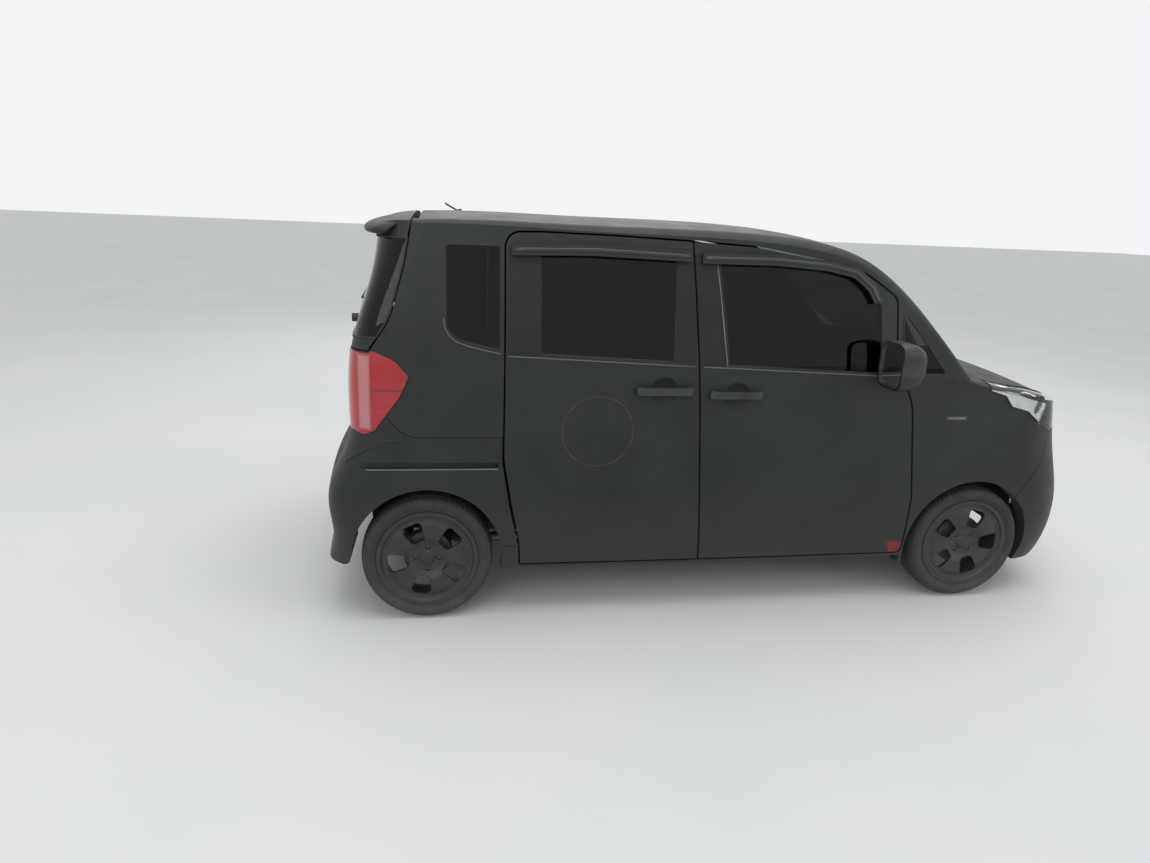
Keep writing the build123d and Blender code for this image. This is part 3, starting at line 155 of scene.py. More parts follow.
def effect(tree, group, **values):
    """The output of a shared effect with its inputs set or wired by name."""
    inputs = {label.replace("_", " "): value for label, value in values.items()}
    return place(tree, "ShaderNodeGroup", inputs, node_tree=group).outputs[0]


# %% [markdown]
# ## Shared surface effects
# Real paint and plastic are never one colour. Six effects are built once and used by most materials:
# broad mottling, fine moulded grain, dust that climbs from the road, thin scratches, a soft box and a
# thin ring that say where on the car something is. They read object coordinates, which here are the
# car's own metres, so a pattern runs on from one panel to the next and stays put when a door opens.

# %% Shared effect: mottling
mottle, given, gives = new_group("mottle", "Value", {"Scale": 6.0, "Low": 0.0, "High": 1.0})
broad = cloud(mottle, Scale=given["Scale"], Detail=6.0)
mottle.links.new(ramp(mottle, broad, 0.3, 0.7, given["Low"], given["High"]), gives)

# %% Shared effect: moulded grain
grain, given, gives = new_group("moulded_grain", "Height", {"Scale": 900.0, "Depth": 1.0})
lumps = {"Vector": on_car(grain), "Scale": given["Scale"]}
cells = place(grain, "ShaderNodeTexVoronoi", lumps, feature="SMOOTH_F1")
grain.links.new(maths(grain, "MULTIPLY", cells.outputs[0], given["Depth"]), gives)

# %% Shared effect: road dust
road_dust, given, gives = new_group("road_dust", "Mask", {"Top": 0.5, "Amount": 0.5})
fall = ramp(road_dust, x_y_z(road_dust)[2], given["Top"], 0.0)
broken = cloud(road_dust, Scale=14.0, Detail=9.0, Roughness=0.7)
patchy = maths(road_dust, "MULTIPLY", maths(road_dust, "POWER", fall, 1.6), broken)
road_dust.links.new(maths(road_dust, "MULTIPLY", patchy, given["Amount"], True), gives)

# %% Shared effect: thin scratches along the car
STRETCH = (3.0, 3.0, 160.0)
scratches, given, gives = new_group("scratches", "Mask", {"Density": 0.5})
drawn_out = {"Vector": on_car(scratches), "Rotation": (0, 0.05, 0), "Scale": STRETCH}
turned = {"Vector": place(scratches, "ShaderNodeMapping", drawn_out).outputs[0], "Scale": 1.0}
streak = place(scratches, "ShaderNodeTexNoise", turned, noise_dimensions="4D").outputs[0]
sharp = ramp(scratches, streak, 0.69, 0.76)
scratches.links.new(maths(scratches, "MULTIPLY", sharp, given["Density"], True), gives)

# %% Shared effect: a soft box in the side view
side_box, given, gives = new_group(
    "side_box", "Mask", {"X": 0.0, "Z": 0.0, "Half Length": 0.1, "Half Height": 0.1, "Softness": 0.01}
)
x, y, z = x_y_z(side_box)
past_end = maths(side_box, "ABSOLUTE", maths(side_box, "SUBTRACT", x, given["X"]))
past_top = maths(side_box, "ABSOLUTE", maths(side_box, "SUBTRACT", z, given["Z"]))
past_end = maths(side_box, "SUBTRACT", past_end, given["Half Length"])
past_top = maths(side_box, "SUBTRACT", past_top, given["Half Height"])
outside = maths(side_box, "MAXIMUM", past_end, past_top)
side_box.links.new(ramp(side_box, outside, 0.0, given["Softness"], 1.0, 0.0), gives)

# %% Shared effect: a ring drawn on a panel
ring_inputs = {"X": 0.0, "Z": 0.0, "Radius": 0.15, "Width": 0.002}
drawn_ring, given, gives = new_group("drawn_ring", "Mask", ring_inputs)
x, y, z = x_y_z(drawn_ring)
off_x = maths(drawn_ring, "SUBTRACT", x, given["X"])
off_z = maths(drawn_ring, "SUBTRACT", z, given["Z"])
square_x = maths(drawn_ring, "MULTIPLY", off_x, off_x)
square_z = maths(drawn_ring, "MULTIPLY", off_z, off_z)
radius = maths(drawn_ring, "SQRT", maths(drawn_ring, "ADD", square_x, square_z))
away = maths(drawn_ring, "ABSOLUTE", maths(drawn_ring, "SUBTRACT", radius, given["Radius"]))
line = ramp(drawn_ring, away, 0.0, given["Width"], 1.0, 0.0)
faint = ramp(drawn_ring, cloud(drawn_ring, Scale=15.0, Detail=4.0), 0.40, 0.64, 0.12, 0.85)
drawn_ring.links.new(maths(drawn_ring, "MULTIPLY", line, faint, True), gives)
print("effects", [group.name for group in bpy.data.node_groups])

# %% [markdown]
# ## Materials
# Each material is a Principled shader whose colour, roughness and bump come from the effects above.
# A constant, such as the metal of a rotor or the tint of a pane, is typed straight into the shader.

# %% Helper: a material with a Principled shader
def new_material(name, **constants):
    """A node material, its tree, and its Principled shader with constants set by name."""
    made = bpy.data.materials.new(name)
    made.use_nodes = True
    shader = made.node_tree.nodes["Principled BSDF"]
    for label, value in constants.items():
        shader.inputs[label.replace("_", " ")].default_value = value
    made.diffuse_color = tuple(shader.inputs["Base Color"].default_value)
    return made, made.node_tree, shader


def bumped(tree, height, strength, distance):
    """The normal that a height gives."""
    inputs = {"Height": height, "Strength": strength, "Distance": distance}
    return place(tree, "ShaderNodeBump", inputs).outputs[0]


def wire(tree, shader, tint, rough, normal=None):
    """Wires the changing values into the shader."""
    tree.links.new(tint, shader.inputs["Base Color"])
    tree.links.new(rough, shader.inputs["Roughness"])
    if normal:
        tree.links.new(normal, shader.inputs["Normal"])


def rgb(red, green=None, blue=None):
    """A colour from its levels; one level alone makes a neutral grey."""
    return red, red if green is None else green, red if blue is None else blue, 1


# %% [markdown]
# ### The matt black paint
# The whole car has been sprayed or wrapped in flat black, so it has almost no gloss but a soft sheen
# where light skims it. It has gone slightly green-grey, it is dusty toward the sills, faintly marbled,
# and carries thin pale scratches. The door and window pillars are a smoother black. One door carries a
# thin ring that was drawn on it, and one lower corner shows red where the black has come off.

# %% Colours of the paint and its marks
PAINT = rgb(0.0105, 0.0128, 0.0124)
PAINT_FADED = rgb(0.0185, 0.0215, 0.0208)
PILLAR_FILM = rgb(0.0075, 0.0085, 0.0085)
RING_LINE = rgb(0.17, 0.062, 0.058)
RED_UNDERCOAT = rgb(0.20, 0.012, 0.012)
SCRATCH = rgb(0.09, 0.10, 0.10)
DUST = rgb(0.16, 0.15, 0.135)


# %% Helper: the paint, with the marks that a panel may carry
def boxed(tree, box, softness):
    """The mask of a soft box (x, z, half length, half height)."""
    x, z, half_length, half_height = box
    sizes = {"Half_Length": half_length, "Half_Height": half_height, "Softness": softness}
    return effect(tree, side_box, X=x, Z=z, **sizes)


def matt_paint(name, ring=None, bare_patch=None, pillars=()):
    """Flat black paint; ring is (x, z, radius), and bare_patch and each pillar are boxes."""
    made, tree, shader = new_material(name, Specular_IOR_Level=0.34, Sheen_Weight=0.05, Sheen_Roughness=0.5)
    tint = mixed(tree, effect(tree, mottle, Scale=3.2), PAINT, PAINT_FADED)
    rough = effect(tree, mottle, Scale=11.0, Low=0.50, High=0.62)
    for pillar in pillars:
        tint = mixed(tree, boxed(tree, pillar, 0.004), tint, PILLAR_FILM)
    if ring:
        mark = effect(tree, drawn_ring, X=ring[0], Z=ring[1], Radius=ring[2], Width=0.0030)
        tint = mixed(tree, mark, tint, RING_LINE)
    if bare_patch:
        torn = effect(tree, mottle, Scale=26.0, Low=-0.6, High=1.8)
        bare = maths(tree, "MULTIPLY", boxed(tree, bare_patch, 0.03), torn, True)
        tint = mixed(tree, bare, tint, RED_UNDERCOAT)
    tint = mixed(tree, effect(tree, scratches, Density=0.16), tint, SCRATCH)
    dust = effect(tree, road_dust, Top=0.62, Amount=0.34)
    tint = mixed(tree, dust, tint, DUST)
    rough = maths(tree, "ADD", rough, maths(tree, "MULTIPLY", dust, 0.4), True)
    orange_peel = cloud(tree, Scale=420.0, Detail=2.0)
    wire(tree, shader, tint, rough, bumped(tree, orange_peel, 0.16, 0.0006))
    return made


# %% The paint of each panel
RING = (middle - 0.555, 0.845, 0.150)
BARE_PATCH = (middle + 0.905, 0.262, 0.035, 0.034)
REAR_DOOR_PILLARS = [(middle - 0.870, 1.365, 0.064, 0.205), (middle - 0.200, 1.345, 0.046, 0.205)]
FRONT_DOOR_PILLAR = [(middle - 0.090, 1.335, 0.090, 0.205)]
paint = matt_paint("matt_paint")
paint_slider = matt_paint("matt_paint_with_ring", ring=RING, pillars=REAR_DOOR_PILLARS)
paint_worn_door = matt_paint("matt_paint_worn_door", bare_patch=BARE_PATCH, pillars=FRONT_DOOR_PILLAR)
paint_front_door = matt_paint("matt_paint_front_door", pillars=FRONT_DOOR_PILLAR)
paint_rear_door = matt_paint("matt_paint_rear_door", pillars=REAR_DOOR_PILLARS)
print("paints", [made.name for made in bpy.data.materials if made.name.startswith("matt")])

# %% [markdown]
# ### Plastics, rubber and the underbody
# Black plastic is told from rubber by its grain and its gloss: moulded grain catches small lights,
# rubber stays dull and picks up dust. The underbody coat is thick and lumpy. Worn tyre rubber is dark
# grey, dull, and carries brown dust on its sidewall.

# %% Helper: a moulded surface
def moulded(name, colour, pale, gloss, grain_size, depth, dust=(0.3, 0.2)):
    """Colour to pale by mottling, roughness over the gloss range, grain, and dust as (top, amount)."""
    made, tree, shader = new_material(name)
    tint = mixed(tree, effect(tree, mottle, Scale=9.0), colour, pale)
    tint = mixed(tree, effect(tree, road_dust, Top=dust[0], Amount=dust[1]), tint, DUST)
    rough = effect(tree, mottle, Scale=16.0, Low=gloss[0], High=gloss[1])
    wire(tree, shader, tint, rough, bumped(tree, effect(tree, grain, Scale=grain_size), 0.5, depth))
    return made


# %% Plastics, rubbers, carpet and the underbody coat
black_plastic = moulded("black_plastic", rgb(0.014, 0.014, 0.015), rgb(0.024), (0.42, 0.56), 900, 0.0006)
dash_plastic = moulded(
    "dash_plastic", rgb(0.024, 0.024, 0.026), rgb(0.034, 0.034, 0.036), (0.5, 0.64), 620, 0.0008
)
screen_black = moulded(
    "screen_black", rgb(0.006, 0.006, 0.007), rgb(0.009, 0.009, 0.010), (0.06, 0.12), 300, 0.0001
)
shield_rib = moulded(
    "shield_rib", rgb(0.020, 0.022, 0.022), rgb(0.030, 0.032, 0.032), (0.16, 0.24), 300, 0.0002
)
# Along the window channels pale_edge's grey is a painted highlight, the bright line on the channel's edge.
pale_edge = moulded("pale_edge", rgb(0.10, 0.105, 0.105), rgb(0.17, 0.175, 0.175), (0.34, 0.5), 500, 0.0003)
# The belt strips and quarter trims are black rubber; their mid grey is a painted highlight, the light line
# along the rubber under each window.
belt_painted_highlight = moulded(
    "belt_painted_highlight", rgb(0.055, 0.058, 0.058), rgb(0.095, 0.098, 0.098), (0.32, 0.46), 500, 0.0003
)
rubber = moulded("seal_rubber", rgb(0.010), rgb(0.020), (0.62, 0.8), 1200, 0.0003)
tyre_rubber = moulded(
    "tyre_rubber", rgb(0.018), rgb(0.032, 0.031, 0.030), (0.72, 0.9), 500, 0.0006, (0.56, 0.4)
)
underbody = moulded(
    "underbody_coat", rgb(0.020, 0.019, 0.018), rgb(0.048, 0.045, 0.041), (0.7, 0.9), 160, 0.0022, (0.6, 0.7)
)
carpet = moulded("carpet", rgb(0.020, 0.020, 0.021), rgb(0.042, 0.041, 0.040), (0.9, 1.0), 1500, 0.004)
print("materials so far", len(bpy.data.materials))

# %% [markdown]
# The door fittings are one node: handles and mirror caps are sprayed like the doors, the mirror's lower
# third is bare black plastic, and the rain shields over the windows are smoked and glossy. Height alone
# tells them apart.

# %% The door fittings
ABOVE_HANDLES = (1.056, 1.060)
MIRROR_CAP = (1.128, 1.131)
RAIN_SHIELDS = (1.34, 1.35)


def by_height(tree, limits):
    """0 below a height and 1 above it, given as (where it starts, where it ends)."""
    return ramp(tree, x_y_z(tree)[2], *limits)


def fittings():
    """Sprayed handles and caps, a bare lower third of the mirror, and smoked shields."""
    made, tree, shader = new_material("door_fittings", Specular_IOR_Level=0.5)
    sprayed = mixed(tree, effect(tree, mottle, Scale=12.0), PAINT, rgb(0.034, 0.038, 0.037))
    bare = maths(tree, "SUBTRACT", by_height(tree, ABOVE_HANDLES), by_height(tree, MIRROR_CAP), True)
    shield = by_height(tree, RAIN_SHIELDS)
    tint = mixed(tree, bare, sprayed, rgb(0.010, 0.010, 0.011))
    tint = mixed(tree, shield, tint, rgb(0.008, 0.009, 0.009))
    dull = effect(tree, mottle, Scale=15.0, Low=0.42, High=0.56)
    bright = effect(tree, mottle, Scale=22.0, Low=0.14, High=0.22)
    rough = place(tree, "ShaderNodeMix", {0: shield, 2: dull, 3: bright}, data_type="FLOAT").outputs[0]
    wire(tree, shader, tint, rough, bumped(tree, effect(tree, grain, Scale=600), 0.2, 0.0003))
    return made


door_fittings = fittings()
print("fittings", door_fittings.name)

# %% [markdown]
# ### Bare and cast metals
# Cast aluminium, exhaust steel and iron differ by colour, by stain and by how rough they are. The brake
# rotor is fused to the rim in the model because both turn together, so one material has to show satin
# black paint on the spokes and worn iron on the rotor. A mask made from the distance to the car's
# middle plane tells them apart.

# %% Metals
def bare_metal(name, colour, stained, gloss, metallic=1.0, stain_scale=14.0):
    """A metal with stains, its roughness over the gloss range."""
    made, tree, shader = new_material(name, Metallic=metallic)
    tint = mixed(tree, effect(tree, mottle, Scale=stain_scale), colour, stained)
    tint = mixed(tree, effect(tree, road_dust, Top=0.5, Amount=0.5), tint, DUST)
    rough = effect(tree, mottle, Scale=stain_scale * 1.7, Low=gloss[0], High=gloss[1])
    wire(tree, shader, tint, rough, bumped(tree, effect(tree, grain, Scale=400), 0.3, 0.0006))
    return made


cast_aluminium = bare_metal("cast_aluminium", rgb(0.30), rgb(0.16, 0.155, 0.15), (0.45, 0.65))
exhaust_steel = bare_metal("exhaust_steel", rgb(0.26, 0.24, 0.21), rgb(0.15, 0.09, 0.055), (0.4, 0.75))
cast_iron = bare_metal("cast_iron", rgb(0.10, 0.09, 0.085), rgb(0.13, 0.065, 0.035), (0.6, 0.85), 0.7)
dark_steel = bare_metal(
    "dark_steel", rgb(0.045, 0.044, 0.043), rgb(0.07, 0.05, 0.04), (0.45, 0.62), 0.5, 60.0
)
satin_chrome = bare_metal("satin_chrome", rgb(0.62), rgb(0.45), (0.2, 0.34))

# %% The rim with its rotor
PAINTED_FROM = half_track + 0.028


def rim_paint(name):
    """Satin black rim whose inner part, nearer the middle of the car, is worn iron."""
    made, tree, shader = new_material(name, Specular_IOR_Level=0.5)
    across = maths(tree, "ABSOLUTE", x_y_z(tree)[1])
    painted = ramp(tree, across, PAINTED_FROM - 0.004, PAINTED_FROM)
    marbled, spotted = effect(tree, mottle, Scale=20.0), effect(tree, mottle, Scale=45.0)
    satin = mixed(tree, marbled, rgb(0.0125, 0.0125, 0.013), rgb(0.024, 0.024, 0.025))
    iron = mixed(tree, spotted, rgb(0.085, 0.078, 0.072), rgb(0.070, 0.042, 0.028))
    tint = mixed(tree, painted, iron, satin)
    tint = mixed(tree, effect(tree, road_dust, Top=0.56, Amount=0.22), tint, DUST)
    rough = effect(tree, mottle, Scale=30.0, Low=0.36, High=0.52)
    wire(tree, shader, tint, rough, bumped(tree, effect(tree, grain, Scale=700), 0.2, 0.0004))
    return made


rim_satin = rim_paint("rim_satin_black")
print("painted outward of", round(PAINTED_FROM, 3))

# %% [markdown]
# ### Glass
# The side and rear panes are tinted almost black and the windscreen is lighter. Glass keeps a plain
# transmission and its tint is its base colour; dust and water marks only change its roughness.

# %% Panes
def pane(name, tint, gloss=(0.02, 0.07), ior=1.5):
    """A see-through pane with faint water marks."""
    made, tree, shader = new_material(name, Transmission_Weight=1.0, IOR=ior)
    stained = tuple(min(1.0, channel * 1.25 + 0.002) for channel in tint[:3]) + (1,)
    colour = mixed(tree, effect(tree, mottle, Scale=5.0), tint, stained)
    wire(tree, shader, colour, effect(tree, mottle, Scale=24.0, Low=gloss[0], High=gloss[1]))
    return made


dark_glass = pane("dark_glass", rgb(0.016, 0.019, 0.020), (0.01, 0.04), 1.34)
front_glass = pane("windscreen_glass", rgb(0.30, 0.34, 0.335))
clear_lens = pane("clear_lens", rgb(0.86, 0.88, 0.89))
print("panes", dark_glass.name, front_glass.name, clear_lens.name)

# %% [markdown]
# ### Lamps
# The tail lamp's red is in its lens, which carries a paler upright bar near its rear edge, one dark seam
# and fine ribs. The headlamp's lens is clear over a silvered bowl.

# %% The tail lamp's lens
PALE_BAR = (middle - 1.500, 1.000, 0.016, 0.142)
LENS_SEAM = (middle - 1.40, 1.012, 0.070, 0.0015)


def tail_lens(name):
    """Red lens with its bar, its seam and its ribs."""
    made, tree, shader = new_material(
        name, Transmission_Weight=0.55, IOR=1.5, Coat_Weight=0.6, Coat_Roughness=0.06
    )
    tint = mixed(tree, effect(tree, mottle, Scale=9.0), rgb(0.56, 0.004, 0.008), rgb(0.70, 0.010, 0.014))
    tint = mixed(tree, boxed(tree, PALE_BAR, 0.012), tint, rgb(0.80, 0.36, 0.34))
    tint = mixed(tree, boxed(tree, LENS_SEAM, 0.002), tint, rgb(0.16, 0.004, 0.006))
    waves = {"Vector": on_car(tree), "Scale": 34.0, "Distortion": 0.0}
    ribs = place(tree, "ShaderNodeTexWave", waves, bands_direction="Z").outputs[1]
    rough = effect(tree, mottle, Scale=24.0, Low=0.06, High=0.16)
    wire(tree, shader, tint, rough, bumped(tree, ribs, 0.25, 0.0012))
    return made


red_lens = tail_lens("red_lens")


# %% Insides of the lamps and the mirror's glass
def darker(colour, share):
    """A colour with its levels lowered."""
    return tuple(level * share for level in colour[:3]) + (1,)


def silvered(name, colour, gloss, metallic=1.0):
    """A silvered or tinted inside."""
    made, tree, shader = new_material(name, Metallic=metallic)
    tint = mixed(tree, effect(tree, mottle, Scale=12.0), colour, darker(colour, 0.8))
    wire(tree, shader, tint, effect(tree, mottle, Scale=22.0, Low=gloss[0], High=gloss[1]))
    return made


lamp_silver = silvered("lamp_silver", rgb(0.80), (0.12, 0.24))
lamp_red_bowl = silvered("lamp_red_bowl", rgb(0.50, 0.05, 0.05), (0.25, 0.45), 0.4)
lamp_white = silvered("lamp_white", rgb(0.72, 0.74, 0.74), (0.3, 0.45), 0.0)
mirror_silver = silvered("mirror_silver", rgb(0.86, 0.87, 0.88), (0.02, 0.05))
print("lamps", red_lens.name, lamp_silver.name, lamp_red_bowl.name, lamp_white.name)

# %% [markdown]
# ### Seat cloth
# A plain dark woven cloth: two crossed waves make the threads, and the sheen of its fibres lifts its
# edges. Mottling stands for wear from years of sitting.

# %% Woven cloth
weave, given, gives = new_group("weave", "Height", {"Scale": 700.0})
waves = {"Vector": on_car(weave), "Scale": given["Scale"], "Distortion": 0.4}
warp = place(weave, "ShaderNodeTexWave", waves, bands_direction="Y").outputs[1]
weft = place(weave, "ShaderNodeTexWave", waves, bands_direction="DIAGONAL").outputs[1]
weave.links.new(maths(weave, "MAXIMUM", warp, weft), gives)


def cloth(name, colour, worn):
    """Woven seat cloth."""
    made, tree, shader = new_material(name, Sheen_Weight=0.5, Sheen_Roughness=0.4, Specular_IOR_Level=0.2)
    threads = effect(tree, weave, Scale=260.0)
    tint = mixed(tree, effect(tree, mottle, Scale=7.0), colour, worn)
    tint = mixed(tree, maths(tree, "MULTIPLY", threads, 0.35), darker(colour, 0.55), tint)
    rough = effect(tree, mottle, Scale=18.0, Low=0.8, High=0.95)
    wire(tree, shader, tint, rough, bumped(tree, threads, 0.6, 0.0008))
    return made


seat_cloth = cloth("seat_cloth", rgb(0.045, 0.045, 0.048), rgb(0.075, 0.074, 0.074))
print("materials", len(bpy.data.materials))

# %% [markdown]
# ## Dressing the CAD nodes
# Most panels already have the right shape, so they only need their finish. One table names the nodes
# that wear each material, and the loop stops the script if a node was forgotten.

# %% The nodes that wear each material
FINISHES = [
    (paint, "body_side_right body_side_left roof cowl wings front_bumper rear_bumper bonnet tailgate"),
    (paint_slider, "sliding_door"), (paint_worn_door, "door_front_right"),
    (paint_front_door, "door_front_left"), (paint_rear_door, "door_rear_left"),
    (door_fittings, "sliding_door_fittings door_front_right_fittings"),
    (door_fittings, "door_front_left_fittings door_rear_left_fittings"),
    (dark_glass, "fixed_side_glass tailgate_glass sliding_door_glass"),
    (dark_glass, "door_front_right_glass door_front_left_glass door_rear_left_glass"),
    (front_glass, "windscreen"), (mirror_silver, "mirror_glass_left mirror_glass_right"),
    (clear_lens, "headlamp_lenses"), (lamp_silver, "headlamp_bowls"),
    (red_lens, "tail_lamp_lenses"), (lamp_red_bowl, "tail_lamp_bowls"),
    (dash_plastic, "centre_pillar_left dashboard steering_wheel"),
    (black_plastic, "front_grille fuel_tank wipers rear_wiper"), (rubber, "antenna"),
    (seat_cloth, "front_seats rear_seat"),
    (underbody, "floor_pan front_frame front_suspension rear_axle seat_bases"),
    (cast_aluminium, "engine_block radiator"), (exhaust_steel, "exhaust"),
    (cast_iron, "knuckle_left knuckle_right"),
]
for corner in ("front_left", "front_right", "rear_left", "rear_right"):
    FINISHES += [(tyre_rubber, "tyre_" + corner), (rim_satin, "rim_" + corner)]


def dress(obj, material):
    """Gives an object one material."""
    obj.data.materials.clear()
    obj.data.materials.append(material)


FINISH = {name: material for material, names in FINISHES for name in names.split()}
for name, obj in nodes.items():
    dress(obj, FINISH[name])
print("dressed", len(nodes))

# %% [markdown]
# ## Helpers for added pieces
# A new piece is a mesh made from lists of points and faces, or a smooth curve with a round section.
# Most meshes here are a grid of points, row by row, so one helper makes the faces of any grid.

# %% Helpers: meshes and curves
def linked(name, data):
    """A new object in the scene."""
    obj = bpy.data.objects.new(name, data)
    bpy.context.scene.collection.objects.link(obj)
    return obj


def new_mesh(name, points, faces, material, body, smooth=True):
    """A piece from points and faces that rides on a body."""
    work = bmesh.new()
    verts = [work.verts.new(tuple(point)) for point in points]
    for face in faces:
        work.faces.new([verts[k] for k in face])
    bmesh.ops.recalc_face_normals(work, faces=work.faces[:])
    mesh = bpy.data.meshes.new(name)
    work.to_mesh(mesh)
    work.free()
    obj = linked(name, mesh)
    dress(obj, material)
    if smooth:
        mesh.polygons.foreach_set("use_smooth", [True] * len(mesh.polygons))
    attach(obj, body)
    return obj


WIDEST_CLOSING = 0.15


def new_bead(name, lines, radius, material, body, closed=True):
    """Round beads along lines of points, as one curve piece. Ends that lie far apart are left open."""
    curve = bpy.data.curves.new(name, "CURVE")
    curve.dimensions = "3D"
    curve.bevel_depth = radius
    curve.bevel_resolution = 2
    for line in lines:
        spline = curve.splines.new("POLY")
        spline.points.add(len(line) - 1)
        for point, (x, y, z) in zip(spline.points, line):
            point.co = (x, y, z, 1)
        spline.use_cyclic_u = closed and math.dist(line[0], line[-1]) < WIDEST_CLOSING
    obj = linked(name, curve)
    obj.data.materials.append(material)
    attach(obj, body)
    return obj


# %% Helper: the faces of a grid
def quads(rows, columns, ring=False, closed=False):
    """Faces of rows of points; ring joins the ends of a row, closed joins the last row to the first."""
    faces = []
    for row in range(rows if closed else rows - 1):
        here = row * columns
        there = (row + 1) % rows * columns
        for k in range(columns if ring else columns - 1):
            beside = (k + 1) % columns
            faces.append((here + k, here + beside, there + beside, there + k))
    return faces


def end_caps(rows, columns):
    """The first and the last row of a grid as two faces."""
    return [tuple(range(columns)), tuple((rows - 1) * columns + k for k in range(columns))]


# %% [markdown]
# `touch` sends a straight probe at a CAD node and says where it meets the skin, so that trim sits on
# the panel and never floats. `borders` walks the sharp edges of a node and returns them as closed loops:
# a window's rubber can then follow the pane's own border.

# %% Helpers: probes and borders
BESIDE_CAR = 1.3
IN_CABIN = 0.30


def touch(node, start, direction):
    """Where a straight probe meets a CAD node, and the way its surface faces there."""
    hit, spot, normal, face = nodes[node].ray_cast(Vector(start), Vector(direction))
    if not hit:
        raise ValueError(f"no {node} at {start}")
    return spot, normal


def from_beside(node, sign, x, z):
    """The same for a probe from beside the car, x from the middle of the wheelbase."""
    return touch(node, (middle + x, BESIDE_CAR * sign, z), (0, -sign, 0))


def from_cabin(node, sign, x, z):
    """Where a probe from inside the cabin meets a door."""
    return touch(node, (middle + x, IN_CABIN * sign, z), (0, sign, 0))[0]


def borders(node, sharp=0.7):
    """Closed loops along the sharp edges of a CAD node."""
    work = bmesh.new()
    work.from_mesh(nodes[node].data)
    bmesh.ops.remove_doubles(work, verts=work.verts, dist=0.00002)
    edges = [e for e in work.edges if len(e.link_faces) == 2 and e.calc_face_angle(0) > sharp]
    touching = {}
    for edge in edges:
        for vert in edge.verts:
            touching.setdefault(vert.index, []).append(edge)
    # A dict keeps the mesh's own order, so every run walks the same loops.
    unused, loops = dict.fromkeys(edges), []
    while unused:
        edge = next(iter(unused))
        del unused[edge]
        first, here = edge.verts
        loop = [first.co.copy(), here.co.copy()]
        while True:
            onward = [e for e in touching[here.index] if e in unused]
            if not onward:
                break
            ahead = loop[-1] - loop[-2]
            edge = min(onward, key=lambda e: ahead.angle(e.other_vert(here).co - here.co, 0))
            del unused[edge]
            here = edge.other_vert(here)
            if here is first:
                break
            loop.append(here.co.copy())
        loops.append(loop)
    work.free()
    return [loop for loop in loops if len(loop) > 6]


def length_of(loop):
    """How long a closed loop is."""
    return sum((b - a).length for a, b in zip(loop, loop[1:] + loop[:1]))


# %% [markdown]
# ## Window rubbers
# Each pane sits a little under the skin with a black rubber round it. The pane's own outer border is the
# path: of its long sharp loops, the outer one is the one that lies farther from the middle of the car.

# %% Rubbers round the panes
WINDOW_BEAD = 0.0042
SHORTEST_PANE_BORDER = 0.5


def outer_border(node, outward):
    """For each pane of a node, its border that lies farther along a direction."""
    panes = []
    for loop in sorted(borders(node), key=length_of, reverse=True):
        middle_of = sum(loop, Vector()) / len(loop)
        if length_of(loop) < SHORTEST_PANE_BORDER:
            continue
        twin = next((k for k, (other, spot) in enumerate(panes) if (spot - middle_of).length < 0.05), None)
        if twin is None:
            panes.append((loop, middle_of))
        elif middle_of.dot(outward) > panes[twin][1].dot(outward):
            panes[twin] = (loop, middle_of)
    return [loop for loop, spot in panes]


RUBBERS = [
    ("sliding_door_glass", "body", (0, -1, 0)), ("door_front_right_glass", "door_front_right", (0, -1, 0)),
    ("door_front_left_glass", "door_front_left", (0, 1, 0)),
    ("door_rear_left_glass", "door_rear_left", (0, 1, 0)),
    ("windscreen", "body", (0.6, 0, 0.8)), ("tailgate_glass", "tailgate", (-1, 0, 0)),
]
for node, body, outward in RUBBERS:
    lines = outer_border(node, Vector(outward))
    new_bead(node + "_rubber", lines, WINDOW_BEAD, rubber, body)
    print(node, "rubbers", len(lines))

# %% [markdown]
# The four small fixed panes share a node, two on each side, so their borders are sorted by side first.

# %% Rubbers round the small fixed panes
small = {}
for loop in borders("fixed_side_glass"):
    centre = sum(loop, Vector()) / len(loop)
    key = (centre.y > 0, centre.x > middle)
    long_enough = length_of(loop) > SHORTEST_PANE_BORDER
    if long_enough and (key not in small or abs(centre.y) > abs(small[key][0].y)):
        small[key] = (centre, loop)
new_bead("fixed_side_glass_rubber", [loop for centre, loop in small.values()], WINDOW_BEAD, rubber, "body")
print("fixed panes", len(small))

# %% [markdown]
# ## Tyres
# The CAD tyre is a plain ring of the right size, so it is replaced by one with a tread. The section is
# walked once round the wheel; between the four long grooves the tread is cut by slanted cross grooves,
# made by moving those points toward the axle. The sidewall has a bead step, a ribbed rim guard and a
# plain band, and its shoulder is notched.

# %% The tyre's section
TYRE_RADIUS = (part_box("tyre_front_right")[1].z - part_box("tyre_front_right")[0].z) / 2
BEAD_RADIUS = TYRE_RADIUS - 0.069
TREAD_HALF = 0.062
CROWN_DROP = 0.006
GROOVES = (-0.040, -0.014, 0.014, 0.040)
GROOVE_HALF = 0.0035
GROOVE_FLOOR_HALF = 0.0025
SIDEWALL = [
    (0.0700, 0.001), (0.0728, 0.0063), (0.0765, 0.010), (0.0775, 0.013), (0.0790, 0.0135), (0.0800, 0.018),
    (0.0835, 0.024), (0.0842, 0.0245), (0.0856, 0.031), (0.0858, 0.0315), (0.0858, 0.043), (0.0850, 0.0435),
    (0.0820, 0.050), (0.0765, 0.056), (0.0700, 0.0605),
]


def crown(across):
    """The tyre's radius across its tread."""
    return TYRE_RADIUS - CROWN_DROP * (across / TREAD_HALF) ** 2


